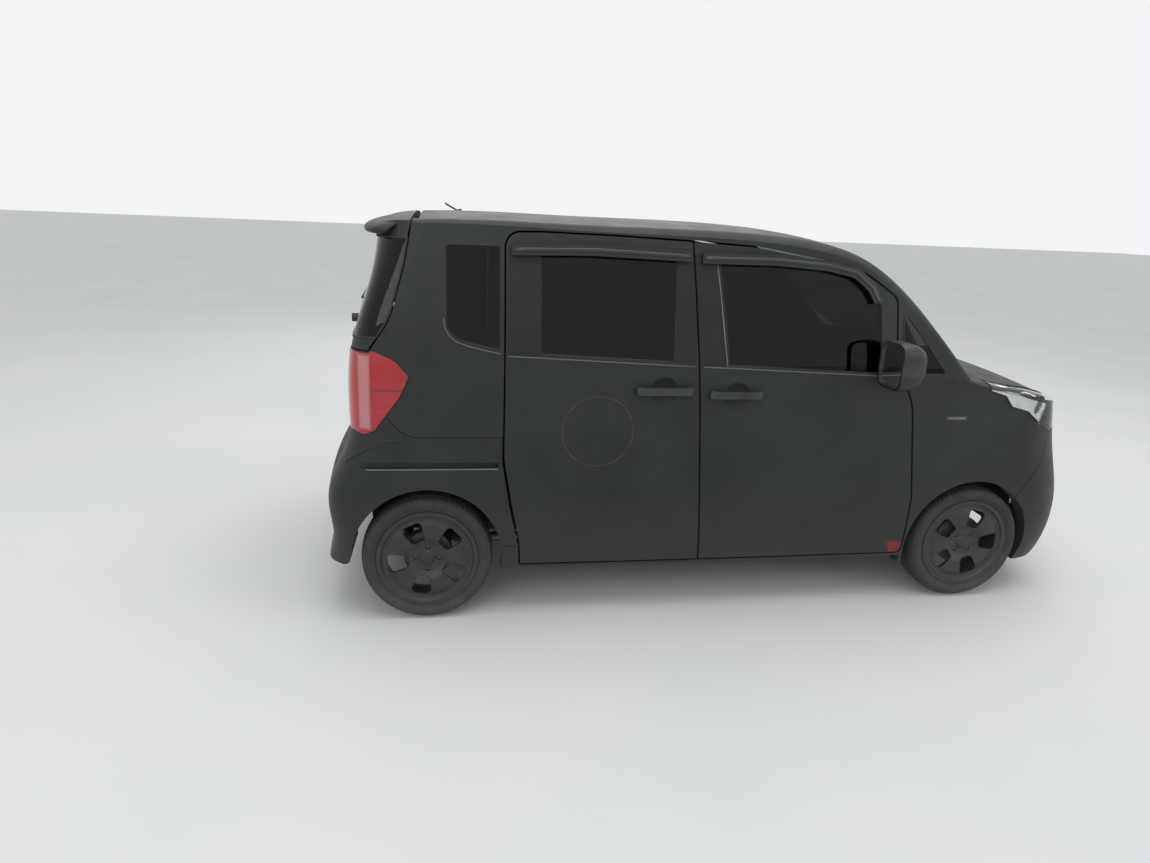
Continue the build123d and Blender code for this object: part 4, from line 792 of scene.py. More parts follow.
def tyre_section():
    """Points (across, radius, in a groove or not, None on a sidewall) from one bead to the other."""
    tread = [(TREAD_HALF, 0)]
    for groove in reversed(GROOVES):
        tread += [(groove + GROOVE_HALF, 0), (groove + GROOVE_FLOOR_HALF, 1)]
        tread += [(groove - GROOVE_FLOOR_HALF, 1), (groove - GROOVE_HALF, 0)]
    tread.append((-TREAD_HALF, 0))
    filled = []
    for (a, deep_a), (b, deep_b) in zip(tread, tread[1:]):
        filled.append((a, deep_a))
        if abs(a - b) > 0.015 and not deep_a and not deep_b:
            filled += [(a + (b - a) * k / 4, 0) for k in (1, 2, 3)]
    filled.append(tread[-1])
    left = [(across, BEAD_RADIUS + rise, None) for across, rise in SIDEWALL]
    right = [(-across, radius, None) for across, radius, none in reversed(left)]
    return left + [(across, crown(across), deep) for across, deep in filled] + right


# %% The tyre with its tread, on each wheel
GROOVE_DEPTH = 0.0055
CROSS_DEPTH = GROOVE_DEPTH * 0.75
NOTCH_DEPTH = 0.0024
STEPS_ROUND = 420
PITCHES = 70
SLANT = 0.9
RIB_HALF = 0.0145


def cut_into(across, radius, deep, turn):
    """How far a point of the section lies below its plain radius at a turn of the wheel."""
    if deep is not None:
        phase = (turn * PITCHES / (2 * math.pi) + SLANT * across / TREAD_HALF) % 1.0
        crossing = phase < (0.12 if abs(across) < RIB_HALF else 0.2)
        return GROOVE_DEPTH if deep else CROSS_DEPTH if crossing else 0
    if 0.0690 < abs(across) < 0.0830 and radius > BEAD_RADIUS + 0.045:
        return NOTCH_DEPTH if (turn * PITCHES / (2 * math.pi) + SLANT) % 1.0 < 0.22 else 0
    return 0


section = tyre_section()
tyre_points = []
for step in range(STEPS_ROUND):
    turn = 2 * math.pi * step / STEPS_ROUND
    for across, radius, deep in section:
        radius -= cut_into(across, radius, deep, turn)
        tyre_points.append(Vector((radius * math.cos(turn), across, radius * math.sin(turn))))
tyre_faces = quads(STEPS_ROUND, len(section), ring=True, closed=True)
WHEELS = {}
for joint in frame["joints"]:
    if joint["name"].endswith("_spin"):
        WHEELS[joint["name"][len("wheel_"):-len("_spin")]] = (joint["child"], Vector(joint["pos_m"]))
for corner, (body, centre) in WHEELS.items():
    placed = [point + centre for point in tyre_points]
    tyre = new_mesh("tread_" + corner, placed, tyre_faces, tyre_rubber, body, smooth=False)
    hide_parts("tyre_" + corner)
print("tyre radius", round(TYRE_RADIUS, 4), "faces each", len(tyre_faces))

# %% [markdown]
# ## Wheel nuts, caps and the lips round the windows
# Four domed nuts sit in the rim's pockets, a plain cap covers the hub, and each of the five windows has
# a raised lip. The lip follows the window's own sharp border on the outer face, so it fits either turn
# of the wheel. Nut and cap are lathed profiles; the nut's six sides come from a six-sided ring.

# %% Helpers: a lathed piece along Y, and several pieces as one
def lathe(profile, sides, centre, outward, turn=0.0):
    """Points and faces of a profile of (across, radius) turned round a line along Y."""
    points = []
    for across, radius in profile:
        for k in range(sides):
            angle = turn + 2 * math.pi * k / sides
            off = Vector((radius * math.cos(angle), across * outward, radius * math.sin(angle)))
            points.append(centre + off)
    return points, quads(len(profile), sides, ring=True) + end_caps(len(profile), sides)[1:]


def gathered(parts):
    """Several lists of points and faces as one."""
    points, faces = [], []
    for some_points, some_faces in parts:
        start = len(points)
        points += list(some_points)
        faces += [tuple(index + start for index in face) for face in some_faces]
    return points, faces


# %% Nuts, caps and window lips
PITCH_RADIUS = 0.050
NUTS = 4
NUT = [(0.047, 0.0098), (0.058, 0.0098), (0.0592, 0.0088), (0.0604, 0.0064), (0.0612, 0.0030)]
CAP = [(0.060, 0.0265), (0.0655, 0.0262), (0.0680, 0.0240), (0.0690, 0.0200), (0.0692, 0.0080)]
FIRST_NUT = {"front": math.radians(46), "rear": math.radians(88)}
RIM_FACE = half_track + 0.055


def is_window(loop, centre):
    """Whether a sharp loop is the border of a window on the rim's outer face."""
    away = [math.hypot(p.x - centre.x, p.z - centre.z) for p in loop]
    return 0.07 < min(away) and max(away) < 0.185 and min(abs(p.y) for p in loop) > RIM_FACE


for corner, (body, centre) in WHEELS.items():
    end, side = corner.split("_")
    outward = SIDES[side]
    nuts = []
    for k in range(NUTS):
        angle = FIRST_NUT[end] + 2 * math.pi * k / NUTS
        spot = centre + PITCH_RADIUS * Vector((math.cos(angle), 0, math.sin(angle)))
        nuts.append(lathe(NUT, 6, spot, outward, angle))
    new_mesh("nuts_" + corner, *gathered(nuts), dark_steel, body, smooth=False)
    new_mesh("cap_" + corner, *lathe(CAP, 48, centre, outward), black_plastic, body)
    lips = [loop for loop in borders("rim_" + corner, 0.6) if is_window(loop, centre)]
    new_bead("lips_" + corner, lips, 0.0016, rim_satin, body)
    print(corner, "nuts", len(nuts), "lips", len(lips))

# %% [markdown]
# ## Headlamps
# Behind the clear lens stands a round projector in a silver ring. A probe from in front finds the lens,
# and the projector stands a fixed depth behind that.

# %% Headlamp projectors
PROJECTOR = [(-0.020, 0.044), (0.006, 0.044), (0.010, 0.041), (0.010, 0.036), (0.004, 0.034)]
PROJECTOR_LENS = [(0.004, 0.0335), (0.011, 0.031), (0.017, 0.024), (0.020, 0.012), (0.021, 0.003)]
PROJECTOR_Y, PROJECTOR_Z, BEHIND_LENS = 0.600, 0.905, 0.052


def forward_lathe(profile, sides, centre):
    """A lathed piece that faces forward."""
    points, faces = lathe(profile, sides, Vector(), 1)
    return [centre + Vector((p.y, p.x, p.z)) for p in points], faces


for side, sign in SIDES.items():
    in_front = (cad_high[0] + 0.4, PROJECTOR_Y * sign, PROJECTOR_Z)
    lens_front = touch("headlamp_lenses", in_front, (-1, 0, 0))[0]
    centre = Vector((lens_front.x - BEHIND_LENS, PROJECTOR_Y * sign, PROJECTOR_Z))
    new_mesh("projector_ring_" + side, *forward_lathe(PROJECTOR, 40, centre), lamp_silver, "body")
    new_mesh("projector_lens_" + side, *forward_lathe(PROJECTOR_LENS, 40, centre), lamp_white, "body")
print("projectors at", [round(v, 3) for v in centre])

# %% [markdown]
# ## The blank strip on each front wing and the mirror's turn lamp
# The strip is a flat lozenge on a black bezel, set on the skin where a probe meets it and turned to face
# the way the skin does there. The turn lamp is a clear bead on the front of the mirror's housing.

# %% Helper: a rounded lozenge on the skin
LOZENGE_STEPS = 28


def squared_off(value):
    """Pushes a circle's cosine or sine outward, toward a rounded rectangle."""
    return math.copysign(math.sqrt(abs(value)), value)


def lozenge(name, half_length, half_height, thickness, spot, normal, material, body):
    """A flat rounded bar on a surface, long along the car."""
    turns = [2 * math.pi * k / LOZENGE_STEPS for k in range(LOZENGE_STEPS)]
    ring = [(half_length * squared_off(math.cos(a)), half_height * squared_off(math.sin(a))) for a in turns]
    outward = normal.normalized()
    along = Vector((1, 0, 0))
    along = (along - outward * along.dot(outward)).normalized()
    up = outward.cross(along) if outward.cross(along).z > 0 else along.cross(outward)
    levels = ((1.0, -0.004), (1.0, thickness * 0.6), (0.93, thickness), (0.6, thickness * 1.08))
    points = []
    for share, lift in levels:
        points += [spot + along * (a * share) + up * (b * share) + outward * lift for a, b in ring]
    faces = end_caps(len(levels), LOZENGE_STEPS) + quads(len(levels), LOZENGE_STEPS, ring=True)
    return new_mesh(name, points, faces, material, body)


# %% Wing strips, mirror turn lamps
WING_STRIP = (1.0855, 0.900)
TURN_LAMP_Y = 0.955
TURN_LAMP_HEIGHTS = (1.150, 1.162, 1.174, 1.186, 1.198)
for side, sign in SIDES.items():
    spot, normal = from_beside("wings", sign, *WING_STRIP)
    lozenge("wing_strip_" + side, 0.047, 0.0052, 0.0034, spot, normal, pale_edge, "body")
    lozenge("wing_strip_bezel_" + side, 0.055, 0.0115, 0.0018, spot, normal, black_plastic, "body")
    door = "door_front_" + side
    before_mirror = [(middle + 1.2, TURN_LAMP_Y * sign, z) for z in TURN_LAMP_HEIGHTS]
    turn_lamp = [touch(door + "_fittings", start, (-1, 0, 0))[0] for start in before_mirror]
    new_bead("mirror_turn_lamp_" + side, [turn_lamp], 0.0038, clear_lens, door, closed=False)
print("wing strip at", [round(v, 4) for v in spot])

# %% [markdown]
# ## Seats
# Each cushion, back and headrest is its own stuffed piece. A pad starts as a rounded block a little
# smaller than the real one, is remeshed into small even faces, and is then blown up by cloth simulation
# with gravity off: the middle crowns, the corners stay behind and the sides pull in. Sewn channels are
# pressed in afterwards.

# %% Helpers: a rounded block, applied modifiers and sewn channels
def rounded_block(size, corner):
    """A block with rounded edges, as a bmesh about its middle."""
    work = bmesh.new()
    bmesh.ops.create_cube(work, size=1.0)
    for vert in work.verts:
        vert.co = Vector((vert.co.x * size[0], vert.co.y * size[1], vert.co.z * size[2]))
    bmesh.ops.bevel(work, geom=work.edges[:], offset=corner, segments=4, profile=0.6, affect="EDGES")
    return work


def settled(obj):
    """The object's mesh with its modifiers applied."""
    bpy.context.view_layer.update()
    seen = obj.evaluated_get(bpy.context.evaluated_depsgraph_get())
    return bpy.data.meshes.new_from_object(seen)


def press(mesh, channels, width=0.009):
    """Presses sewn channels (axis, place, depth) into the upper face of a pad."""
    for vert in mesh.vertices:
        if vert.co.z < 0:
            continue
        for axis, spot, depth in channels:
            away = (vert.co[axis] - spot) / width
            vert.co.z -= depth * math.exp(-away * away)


# %% Helpers: one stuffed pad
PUFF = 0.016
BLOWN_UP_BY = PUFF * 0.75
MOMENTS = 14


def blow_up(obj):
    """Fills a pad with pressure for some moments, and lets no point move farther than it may."""
    rest = [vert.co.copy() for vert in obj.data.vertices]
    cover = obj.modifiers.new("cloth", "CLOTH")
    cover.settings.use_pressure = True
    cover.settings.uniform_pressure_force = 4.0
    cover.settings.effector_weights.gravity = 0.0
    cover.point_cache.frame_start = 1
    cover.point_cache.frame_end = MOMENTS
    for moment in range(1, MOMENTS + 1):
        bpy.context.scene.frame_set(moment)
    obj.data = settled(obj)
    bpy.context.scene.frame_set(1)
    for vert, was in zip(obj.data.vertices, rest):
        moved = vert.co - was
        if moved.length > BLOWN_UP_BY:
            vert.co = was + moved * (BLOWN_UP_BY / moved.length)


def stuffed(name, size, corner, channels=(), face=0.009, shape=None):
    """A padded mesh: x is its length, y its width, z its thickness, and face its faces' size."""
    work = rounded_block([length - PUFF for length in size], corner)
    if shape:
        for vert in work.verts:
            vert.co = shape(vert.co)
    mesh = bpy.data.meshes.new(name)
    work.to_mesh(mesh)
    work.free()
    obj = linked(name, mesh)
    remesh = obj.modifiers.new("remesh", "REMESH")
    remesh.mode = "VOXEL"
    remesh.voxel_size = face
    obj.data = settled(obj)
    obj.modifiers.clear()
    blow_up(obj)
    obj.modifiers.clear()
    press(obj.data, channels)
    fine = obj.modifiers.new("fine", "SUBSURF")
    fine.levels = fine.render_levels = 1
    obj.data = settled(obj)
    obj.modifiers.clear()
    obj.data.polygons.foreach_set("use_smooth", [True] * len(obj.data.polygons))
    return obj


# %% [markdown]
# The seat's places come from the CAD seats: cushions lie almost flat, backs lean back by about
# seventeen degrees, and the headrests stand on two steel posts.


def fitted(obj, x, y, z, tilt):
    """Leans a pad by a tilt about the car's width, moves it to its place and finishes it."""
    turn = Matrix.Rotation(math.radians(-tilt), 4, "Y")
    obj.data.transform(Matrix.Translation((middle + x, y, z)) @ turn)
    dress(obj, seat_cloth)
    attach(obj, "body")
    print(obj.name, "faces", len(obj.data.polygons))


# %% Pads of the front seats
FRONT_SEAT_Y = 0.365
FRONT_PADS = {
    "cushion": ((0.515, 0.475, 0.135), 0.040, 0.128, 0.470, 3.2),
    "back": ((0.600, 0.450, 0.118), 0.042, -0.110, 0.778, 73.6),
    "headrest": ((0.158, 0.244, 0.088), 0.036, -0.226, 1.180, 82.0),
}
CHANNELS = {
    "cushion": [(1, -0.150, 0.016), (1, 0.150, 0.016), (0, -0.060, 0.010), (0, 0.080, 0.010)],
    "back": [
        (1, -0.145, 0.016), (1, 0.145, 0.016), (0, -0.090, 0.010), (0, 0.060, 0.010), (0, 0.190, 0.010),
    ],
    "headrest": [],
}


def bolster(width):
    """Raises the outer thirds of a seat pad, as side bolsters."""
    def shape(spot):
        share = min(1.0, abs(spot.y) / (width / 2))
        lift = 0.020 * max(0.0, share - 0.55) / 0.45 if spot.z > 0 else 0.0
        return Vector((spot.x, spot.y, spot.z + lift))
    return shape


for part, (size, corner, x, z, tilt) in FRONT_PADS.items():
    raised, face = (None, 0.009) if part == "headrest" else (bolster(size[1]), 0.013)
    first = stuffed("front_" + part + "_right", size, corner, CHANNELS[part], face, raised)
    second = linked("front_" + part + "_left", first.data.copy())
    fitted(first, x, -FRONT_SEAT_Y, z, tilt)
    fitted(second, x, FRONT_SEAT_Y, z, tilt)

# %% Pads of the rear bench
REAR_HEADREST_Y = 0.330
BENCH_PADS = {
    "rear_cushion": ((0.420, 1.160, 0.100), 0.036, -0.680, 0.492, 2.6),
    "rear_back": ((0.600, 1.080, 0.100), 0.038, -0.958, 0.760, 82.0),
}
BENCH_CHANNELS = {
    "rear_cushion": [(1, -0.200, 0.014), (1, 0.200, 0.014), (0, 0.030, 0.009)],
    "rear_back": [(1, -0.200, 0.014), (1, 0.200, 0.014), (0, -0.100, 0.009), (0, 0.090, 0.009)],
}
for name, (size, corner, x, z, tilt) in BENCH_PADS.items():
    fitted(stuffed(name, size, corner, BENCH_CHANNELS[name], 0.016), x, 0, z, tilt)
for side, sign in SIDES.items():
    headrest = stuffed("rear_headrest_" + side, (0.122, 0.240, 0.070), 0.030)
    fitted(headrest, -1.005, REAR_HEADREST_Y * sign, 1.132, 84.0)


# %% Headrest posts
def posts(name, x, z_low, z_high, lean, y):
    """A pair of steel posts under the headrest on each side."""
    lines = []
    for centre in (-y, y):
        for off in (-0.058, 0.058):
            lines.append([(middle + x, centre + off, z_low), (middle + x - lean, centre + off, z_high)])
    new_bead(name, lines, 0.006, satin_chrome, "body", closed=False)


posts("front_headrest_posts", -0.208, 1.045, 1.150, 0.012, FRONT_SEAT_Y)
posts("rear_headrest_posts", -1.004, 1.020, 1.110, 0.004, REAR_HEADREST_Y)
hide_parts("front_seats")
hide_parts("rear_seat")

# %% [markdown]
# ## Trim that follows the skin
# Each line of trim is a row of (x, height) points seen from the side, x from the middle of the
# wheelbase. A probe finds the skin behind every point, so a strip bends with the panel. A strip keeps one
# section, a low arch, and stands off the skin by its thickness.

# %% Helper: a strip laid on a panel along points of the side view
STRIP_SECTION = [(-0.5, -0.3), (-0.5, 0.5), (-0.36, 0.95), (0.0, 1.1), (0.36, 0.95), (0.5, 0.5), (0.5, -0.3)]


def on_side(node, sign, points, steps):
    """Spots and normals on a node's outer face, with some steps between each two points."""
    found = []
    for (xa, za), (xb, zb) in zip(points, points[1:]):
        found += [(xa + (xb - xa) * k / steps, za + (zb - za) * k / steps) for k in range(steps)]
    return [from_beside(node, sign, x, z) for x, z in found + [points[-1]]]


def strip(name, node, body, sign, points, width, thickness, material, steps=12):
    """A flat strip with rounded edges on a panel."""
    spots = on_side(node, sign, points, steps)
    verts = []
    for k, (spot, normal) in enumerate(spots):
        after = spots[min(k + 1, len(spots) - 1)][0]
        before = spots[max(k - 1, 0)][0]
        side_way = normal.cross((after - before).normalized()).normalized()
        verts += [spot + side_way * (a * width) + normal * (b * thickness) for a, b in STRIP_SECTION]
    rows, columns = len(spots), len(STRIP_SECTION)
    return new_mesh(name, verts, quads(rows, columns) + end_caps(rows, columns), material, body)


# %% Window channels, belt strips and quarter trims, whose pale greys are painted highlights
CHANNEL = [(-0.0755, 1.545), (-0.0145, 1.120)]
FRONT_BELT = [(0.725, 1.0890), (0.0, 1.1175), (-0.118, 1.1215)]
REAR_BELT = [(-0.936, 1.1560), (-0.156, 1.1225)]
QUARTER_TRIM = [
    (-1.188, 1.300), (-1.183, 1.262), (-1.166, 1.232), (-1.140, 1.210), (-1.090, 1.192), (-1.030, 1.178),
    (-0.962, 1.1640),
]
# The belt strips' and quarter trims' grey is a painted highlight along the black rubber under the windows.
for side, sign in SIDES.items():
    door, skin = "door_front_" + side, "body_side_" + side
    # The channel's pale grey is a painted highlight: the bright line along the window's edge on a black
    # channel.
    strip("channel_" + side, door, door, sign, CHANNEL, 0.0046, 0.0020, pale_edge)
    strip("belt_" + side, door, door, sign, FRONT_BELT, 0.006, 0.0026, belt_painted_highlight)
    strip("quarter_trim_" + side, skin, "body", sign, QUARTER_TRIM, 0.006, 0.0026, belt_painted_highlight, 6)
REAR_DOORS = [("right", "sliding_door", "body", -1), ("left", "door_rear_left", "door_rear_left", 1)]
for side, door, body, sign in REAR_DOORS:
    # The rear belt strips' grey is a painted highlight too.
    strip("belt_rear_" + side, door, body, sign, REAR_BELT, 0.006, 0.0026, belt_painted_highlight)
print("channels, belts and quarter trims laid")

# %% The slide rail's lip, the bumper's swages and the rain shields' ribs
RAIL_LIP = [(-1.500, 0.6835), (-0.968, 0.6835)]
SWAGE = [(-1.590, 0.700), (-1.545, 0.738), (-1.483, 0.779), (-1.420, 0.803), (-1.345, 0.812)]
FRONT_SHIELD = [
    (-0.135, 1.5615), (0.186, 1.5625), (0.405, 1.5485), (0.536, 1.5225), (0.610, 1.4630), (0.640, 1.4080),
]
REAR_SHIELD = [(-0.915, 1.5690), (-0.600, 1.5780), (-0.193, 1.5660)]
strip("rail_lip", "rear_bumper", "body", -1, RAIL_LIP, 0.005, 0.0018, pale_edge, 30)
for side, sign in SIDES.items():
    strip("swage_" + side, "rear_bumper", "body", sign, SWAGE, 0.016, 0.0030, paint, 8)
SHIELDS = [
    ("door_front_right", "door_front_right", -1, FRONT_SHIELD),
    ("door_front_left", "door_front_left", 1, FRONT_SHIELD),
    ("sliding_door", "body", -1, REAR_SHIELD), ("door_rear_left", "door_rear_left", 1, REAR_SHIELD),
]
for door, body, sign, points in SHIELDS:
    strip(door + "_shield_rib", door + "_fittings", body, sign, points, 0.016, 0.0050, shield_rib, 8)
print("rail lip, swages and shield ribs laid")

# %% [markdown]
# ## The lip over the rear glass
# The tailgate's top stands out behind the glass as a short lip. Its plan is a bowed line; its upper face
# carries on the roof's slope and its underside is flat. Each row of points goes from the roof's edge over
# the top, round the tip and back under; a subdivision then rounds it.

# %% Tailgate lip
LIP_HALF = 0.672
LIP_BACK = [(-1.395, LIP_HALF), (-1.455, 0.648), (-1.498, 0.560), (-1.518, 0.350), (-1.524, 0.0)]
LIP_UNDERSIDE = 1.606
LIP_TOP = 1.650
LIP_CORNER_DROP = 0.020
LIP_THINNEST = 0.016
LIP_FRONT = -1.350
LIP_ROOT = -1.430
ABOVE_ROOF = 1.9
outline = [(x, -y) for x, y in LIP_BACK] + [(x, y) for x, y in reversed(LIP_BACK[:-1])]
lip_points = []
for x, y in outline:
    anchor = touch("tailgate", (middle + LIP_FRONT, y * 0.97, ABOVE_ROOF), (0, 0, -1))[0]
    anchor += Vector((0, 0, 0.0004))
    top = min(LIP_TOP - LIP_CORNER_DROP * (abs(y) / LIP_HALF) ** 2, anchor.z - 0.004)
    under = min(LIP_UNDERSIDE, top - LIP_THINNEST)
    edge = Vector((middle + x, y, top))
    over = anchor.lerp(edge, 0.6) + Vector((0, 0, 0.004))
    tip = Vector((middle + x - 0.003, y, (top + under) / 2))
    below = Vector((middle + x + 0.004, y * 0.997, under))
    lip_points += [anchor, over, edge, tip, below, Vector((middle + LIP_ROOT, y * 0.93, under))]
row = len(lip_points) // len(outline)
lip_faces = quads(len(outline), row) + end_caps(len(outline), row)
lip = new_mesh("tailgate_lip", lip_points, lip_faces, paint, "tailgate")
soften = lip.modifiers.new("soften", "SUBSURF")
soften.levels = soften.render_levels = 2
print("lip points", len(lip_points))

# %% [markdown]
# ## Lamp borders
# A thin black rubber runs round each lamp where it meets the panels.

# %% Beads round the lamps
for node, radius in (("headlamp_lenses", 0.0042), ("tail_lamp_lenses", 0.0022)):
    loops = [loop for loop in borders(node, 0.9) if length_of(loop) > 0.55]
    new_bead(node + "_seal", loops, radius, rubber, "body")
    print(node, "seals", len(loops))

# %% [markdown]
# ## Inside the doors
# A probe grid from the middle of the cabin finds the inner face of each door. The lining stands off that
# face by a few millimetres, swells in the middle of its upper panel, and carries an armrest and a pocket.

# %% Helper: a lining over an inner face
CARD_COLUMNS, CARD_LEVELS = 56, 44


def smooth_step(share):
    """An S-shaped rise from 0 to 1."""
    share = min(1.0, max(0.0, share))
    return share * share * (3 - 2 * share)


def card_lift(x, z, border, z_low, arm):
    """How far a lining stands off: its rolled edge, armrest, swell above it, and pocket below."""
    arm_low, arm_high, arm_height = arm
    along = smooth_step((x - arm_low) / 0.05) * smooth_step((arm_high - x) / 0.05)
    edge = 0.0005 + 0.010 * smooth_step(border / 0.018)
    armrest = 0.038 * smooth_step(1.0 - abs(z - arm_height) / 0.055)
    swell = 0.012 * smooth_step(1.0 - abs(z - arm_height - 0.20) / 0.10)
    pocket = 0.020 * smooth_step(1.0 - abs(z - z_low - 0.10) / 0.09)
    return edge + along * (armrest + swell + pocket)


def lining(name, node, body, sign, x_range, z_range, arm):
    """A padded lining on a door's inner face; arm is (x low, x high, height) of its armrest."""
    length, height = x_range[1] - x_range[0], z_range[1] - z_range[0]
    verts = []
    for i in range(CARD_COLUMNS + 1):
        x = x_range[0] + length * i / CARD_COLUMNS
        for j in range(CARD_LEVELS + 1):
            z = z_range[0] + height * j / CARD_LEVELS
            spot = from_cabin(node, sign, x, z)
            from_end = min(i, CARD_COLUMNS - i) / CARD_COLUMNS * length
            from_edge = min(j, CARD_LEVELS - j) / CARD_LEVELS * height
            lift = card_lift(x, z, min(from_end, from_edge), z_range[0], arm)
            verts.append(Vector((spot.x, spot.y - sign * lift, spot.z)))
    return new_mesh(name, verts, quads(CARD_COLUMNS + 1, CARD_LEVELS + 1), dash_plastic, body)


# %% Door linings and their handles
FRONT_CARD = ((-0.035, 0.775), (0.350, 1.050), (0.080, 0.520, 0.800))
REAR_CARD = ((-0.850, -0.165), (0.370, 1.075), (-0.740, -0.300, 0.820))
DOOR_LININGS = [
    ("door_front_right", "door_front_right", -1, FRONT_CARD),
    ("door_front_left", "door_front_left", 1, FRONT_CARD),
    ("sliding_door", "body", -1, REAR_CARD), ("door_rear_left", "door_rear_left", 1, REAR_CARD),
]
for node, body, sign, (x_range, z_range, arm) in DOOR_LININGS:
    card = lining(node + "_lining", node, body, sign, x_range, z_range, arm)
    pull = from_cabin(node, sign, arm[1] - 0.02, arm[2] + 0.130)
    bends = [(0.000, 0.008), (-0.010, 0.026), (-0.085, 0.028), (-0.100, 0.012)]
    handle = [pull + Vector((along, -sign * lift, 0)) for along, lift in bends]
    new_bead(node + "_inner_handle", [handle], 0.006, satin_chrome, body, closed=False)
print("linings", len(DOOR_LININGS), "faces each", len(card.data.polygons))

# %% [markdown]
# ## Carpet, pedals and the dashboard's small parts
# The carpet is a probe grid laid over the floor pan from the toe board to the boot; it is narrower
# between the rear wheels. The dashboard gets vents with slats, a dark screen, three knobs and a pair of
# dials, all placed by probes from the cabin.

# %% Carpet
CARPET_BACK, CARPET_LENGTH = -1.480, 2.440
CARPET_ROWS, CARPET_COLUMNS = 120, 36
carpet_points = []
for i in range(CARPET_ROWS + 1):
    x = CARPET_BACK + CARPET_LENGTH * i / CARPET_ROWS
    half = 0.515 if x < -0.925 else 0.600
    for j in range(CARPET_COLUMNS + 1):
        y = half * (2 * j / CARPET_COLUMNS - 1)
        spot = touch("floor_pan", (middle + x, y, 0.615), (0, 0, -1))[0]
        carpet_points.append(spot + Vector((0, 0, 0.0025)))
carpet_faces = quads(CARPET_ROWS + 1, CARPET_COLUMNS + 1)
new_mesh("floor_carpet", carpet_points, carpet_faces, carpet, "body")
print("carpet faces", len(carpet_faces))


# %% Helpers: a small rounded box, and a probe at the dashboard
def small_box(name, centre, size, material, tilt=0.0, corner=0.18):
    """A rounded box in the cabin, tilted about the car's width."""
    work = rounded_block(size, min(size) * corner)
    turn = Matrix.Translation(centre) @ Matrix.Rotation(math.radians(-tilt), 4, "Y")
    bmesh.ops.transform(work, matrix=turn, verts=work.verts[:])
    points = [vert.co.copy() for vert in work.verts]
    work.verts.index_update()
    faces = [tuple(vert.index for vert in face.verts) for face in work.faces]
    work.free()
    return new_mesh(name, points, faces, material, "body")


def dash_at(y, z):
    """Where a probe from the cabin meets the dashboard."""
    return touch("dashboard", (middle + IN_CABIN, y, z), (1, 0, 0))[0]


# %% Dashboard vents and screen
VENTS = ((-0.600, 0.925), (-0.165, 0.905), (0.165, 0.905), (0.600, 0.925))
for number, (y, z) in enumerate(VENTS):
    spot = dash_at(y, z)
    small_box(f"vent_{number}", spot + Vector((0.004, 0, 0)), (0.018, 0.118, 0.066), black_plastic)
    for k in range(3):
        slat_at = spot + Vector((-0.006, 0, 0.019 * (k - 1)))
        bright_one = satin_chrome if k == 1 else black_plastic
        small_box(f"vent_{number}_slat_{k}", slat_at, (0.006, 0.102, 0.004), bright_one, 20)
small_box("screen", dash_at(0.0, 0.890) + Vector((0.001, 0, 0)), (0.010, 0.205, 0.122), screen_black)
print("vents", len(VENTS))

# %% Dashboard knobs and dials
KNOB = [(0.0, 0.021), (0.012, 0.0205), (0.015, 0.018), (0.016, 0.010)]
DIAL_STEPS = 40
for number, y in enumerate((-0.070, 0.0, 0.070)):
    spot = dash_at(y, 0.735)
    points, faces = lathe(KNOB, 28, Vector(), 1)
    new_mesh(f"knob_{number}", [spot + Vector((-p.y, p.x, p.z)) for p in points], faces, satin_chrome, "body")
dials = []
for y in (0.300, 0.430):
    spot = dash_at(y, 0.998)
    turns = [2 * math.pi * k / DIAL_STEPS for k in range(DIAL_STEPS)]
    dials.append([spot + Vector((-0.002, 0.044 * math.cos(a), 0.036 * math.sin(a))) for a in turns])
new_bead("dial_rings", dials, 0.0020, satin_chrome, "body")
print("dash front at", round(spot.x, 3))

# %% Pedals
PEDALS = (("clutch_side_rest", 0.500, 0.050), ("brake_pedal", 0.400, 0.078), ("throttle_pedal", 0.290, 0.046))
PEDAL_ARM = ((0.006, 0, 0.02), (0.060, 0, 0.12), (0.075, 0, 0.27))
for name, y, width in PEDALS:
    foot = Vector((middle + 0.835, y, 0.400))
    small_box(name, foot, (0.012, width, 0.066), rubber, 24, 0.3)
    arm_line = [foot + Vector(off) for off in PEDAL_ARM]
    new_bead(name + "_arm", [arm_line], 0.005, cast_iron, "body", closed=False)
print("pedals", len(PEDALS))

# %% Gear lever
LEVER = ((0.004, 0, -0.010), (-0.040, 0, 0.030), (-0.062, 0, 0.078))
GEAR_KNOB = [(-0.002, 0.010), (0.004, 0.020), (0.020, 0.023), (0.036, 0.020), (0.042, 0.010)]
spot = dash_at(0.0, 0.640)
new_bead("gear_lever", [[spot + Vector(off) for off in LEVER]], 0.008, satin_chrome, "body", closed=False)
points, faces = lathe(GEAR_KNOB, 28, Vector(), 1)
knob_points = [spot + Vector((-0.062 + p.x, p.z, 0.070 + p.y)) for p in points]
new_mesh("gear_knob", knob_points, faces, dash_plastic, "body")

# %% [markdown]
# ## Stage
# A pale flat floor ends far off against a near-white world. The camera, reflections and views through
# glass see a plain bright backdrop, while the light that falls on the car comes from a softer surround
# and four large lamps, at the level at which a colour renders about as it is written.

# %% Floor
FLOOR_HALF = 60
corners = [(FLOOR_HALF * a, FLOOR_HALF * b, 0) for a, b in ((-1, -1), (1, -1), (1, 1), (-1, 1))]
floor_mesh = bpy.data.meshes.new("stage_floor")
floor_mesh.from_pydata(corners, [], [(0, 1, 2, 3)])
floor = linked("stage_floor", floor_mesh)
floor_paint, tree, shader = new_material("stage_floor", Roughness=0.62, Specular_IOR_Level=0.3)
floor_tint = mixed(tree, effect(tree, mottle, Scale=0.8), rgb(0.66, 0.67, 0.67), rgb(0.70))
tree.links.new(floor_tint, shader.inputs["Base Color"])
dress(floor, floor_paint)
floor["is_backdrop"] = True
print("floor", 2 * FLOOR_HALF, "m wide")


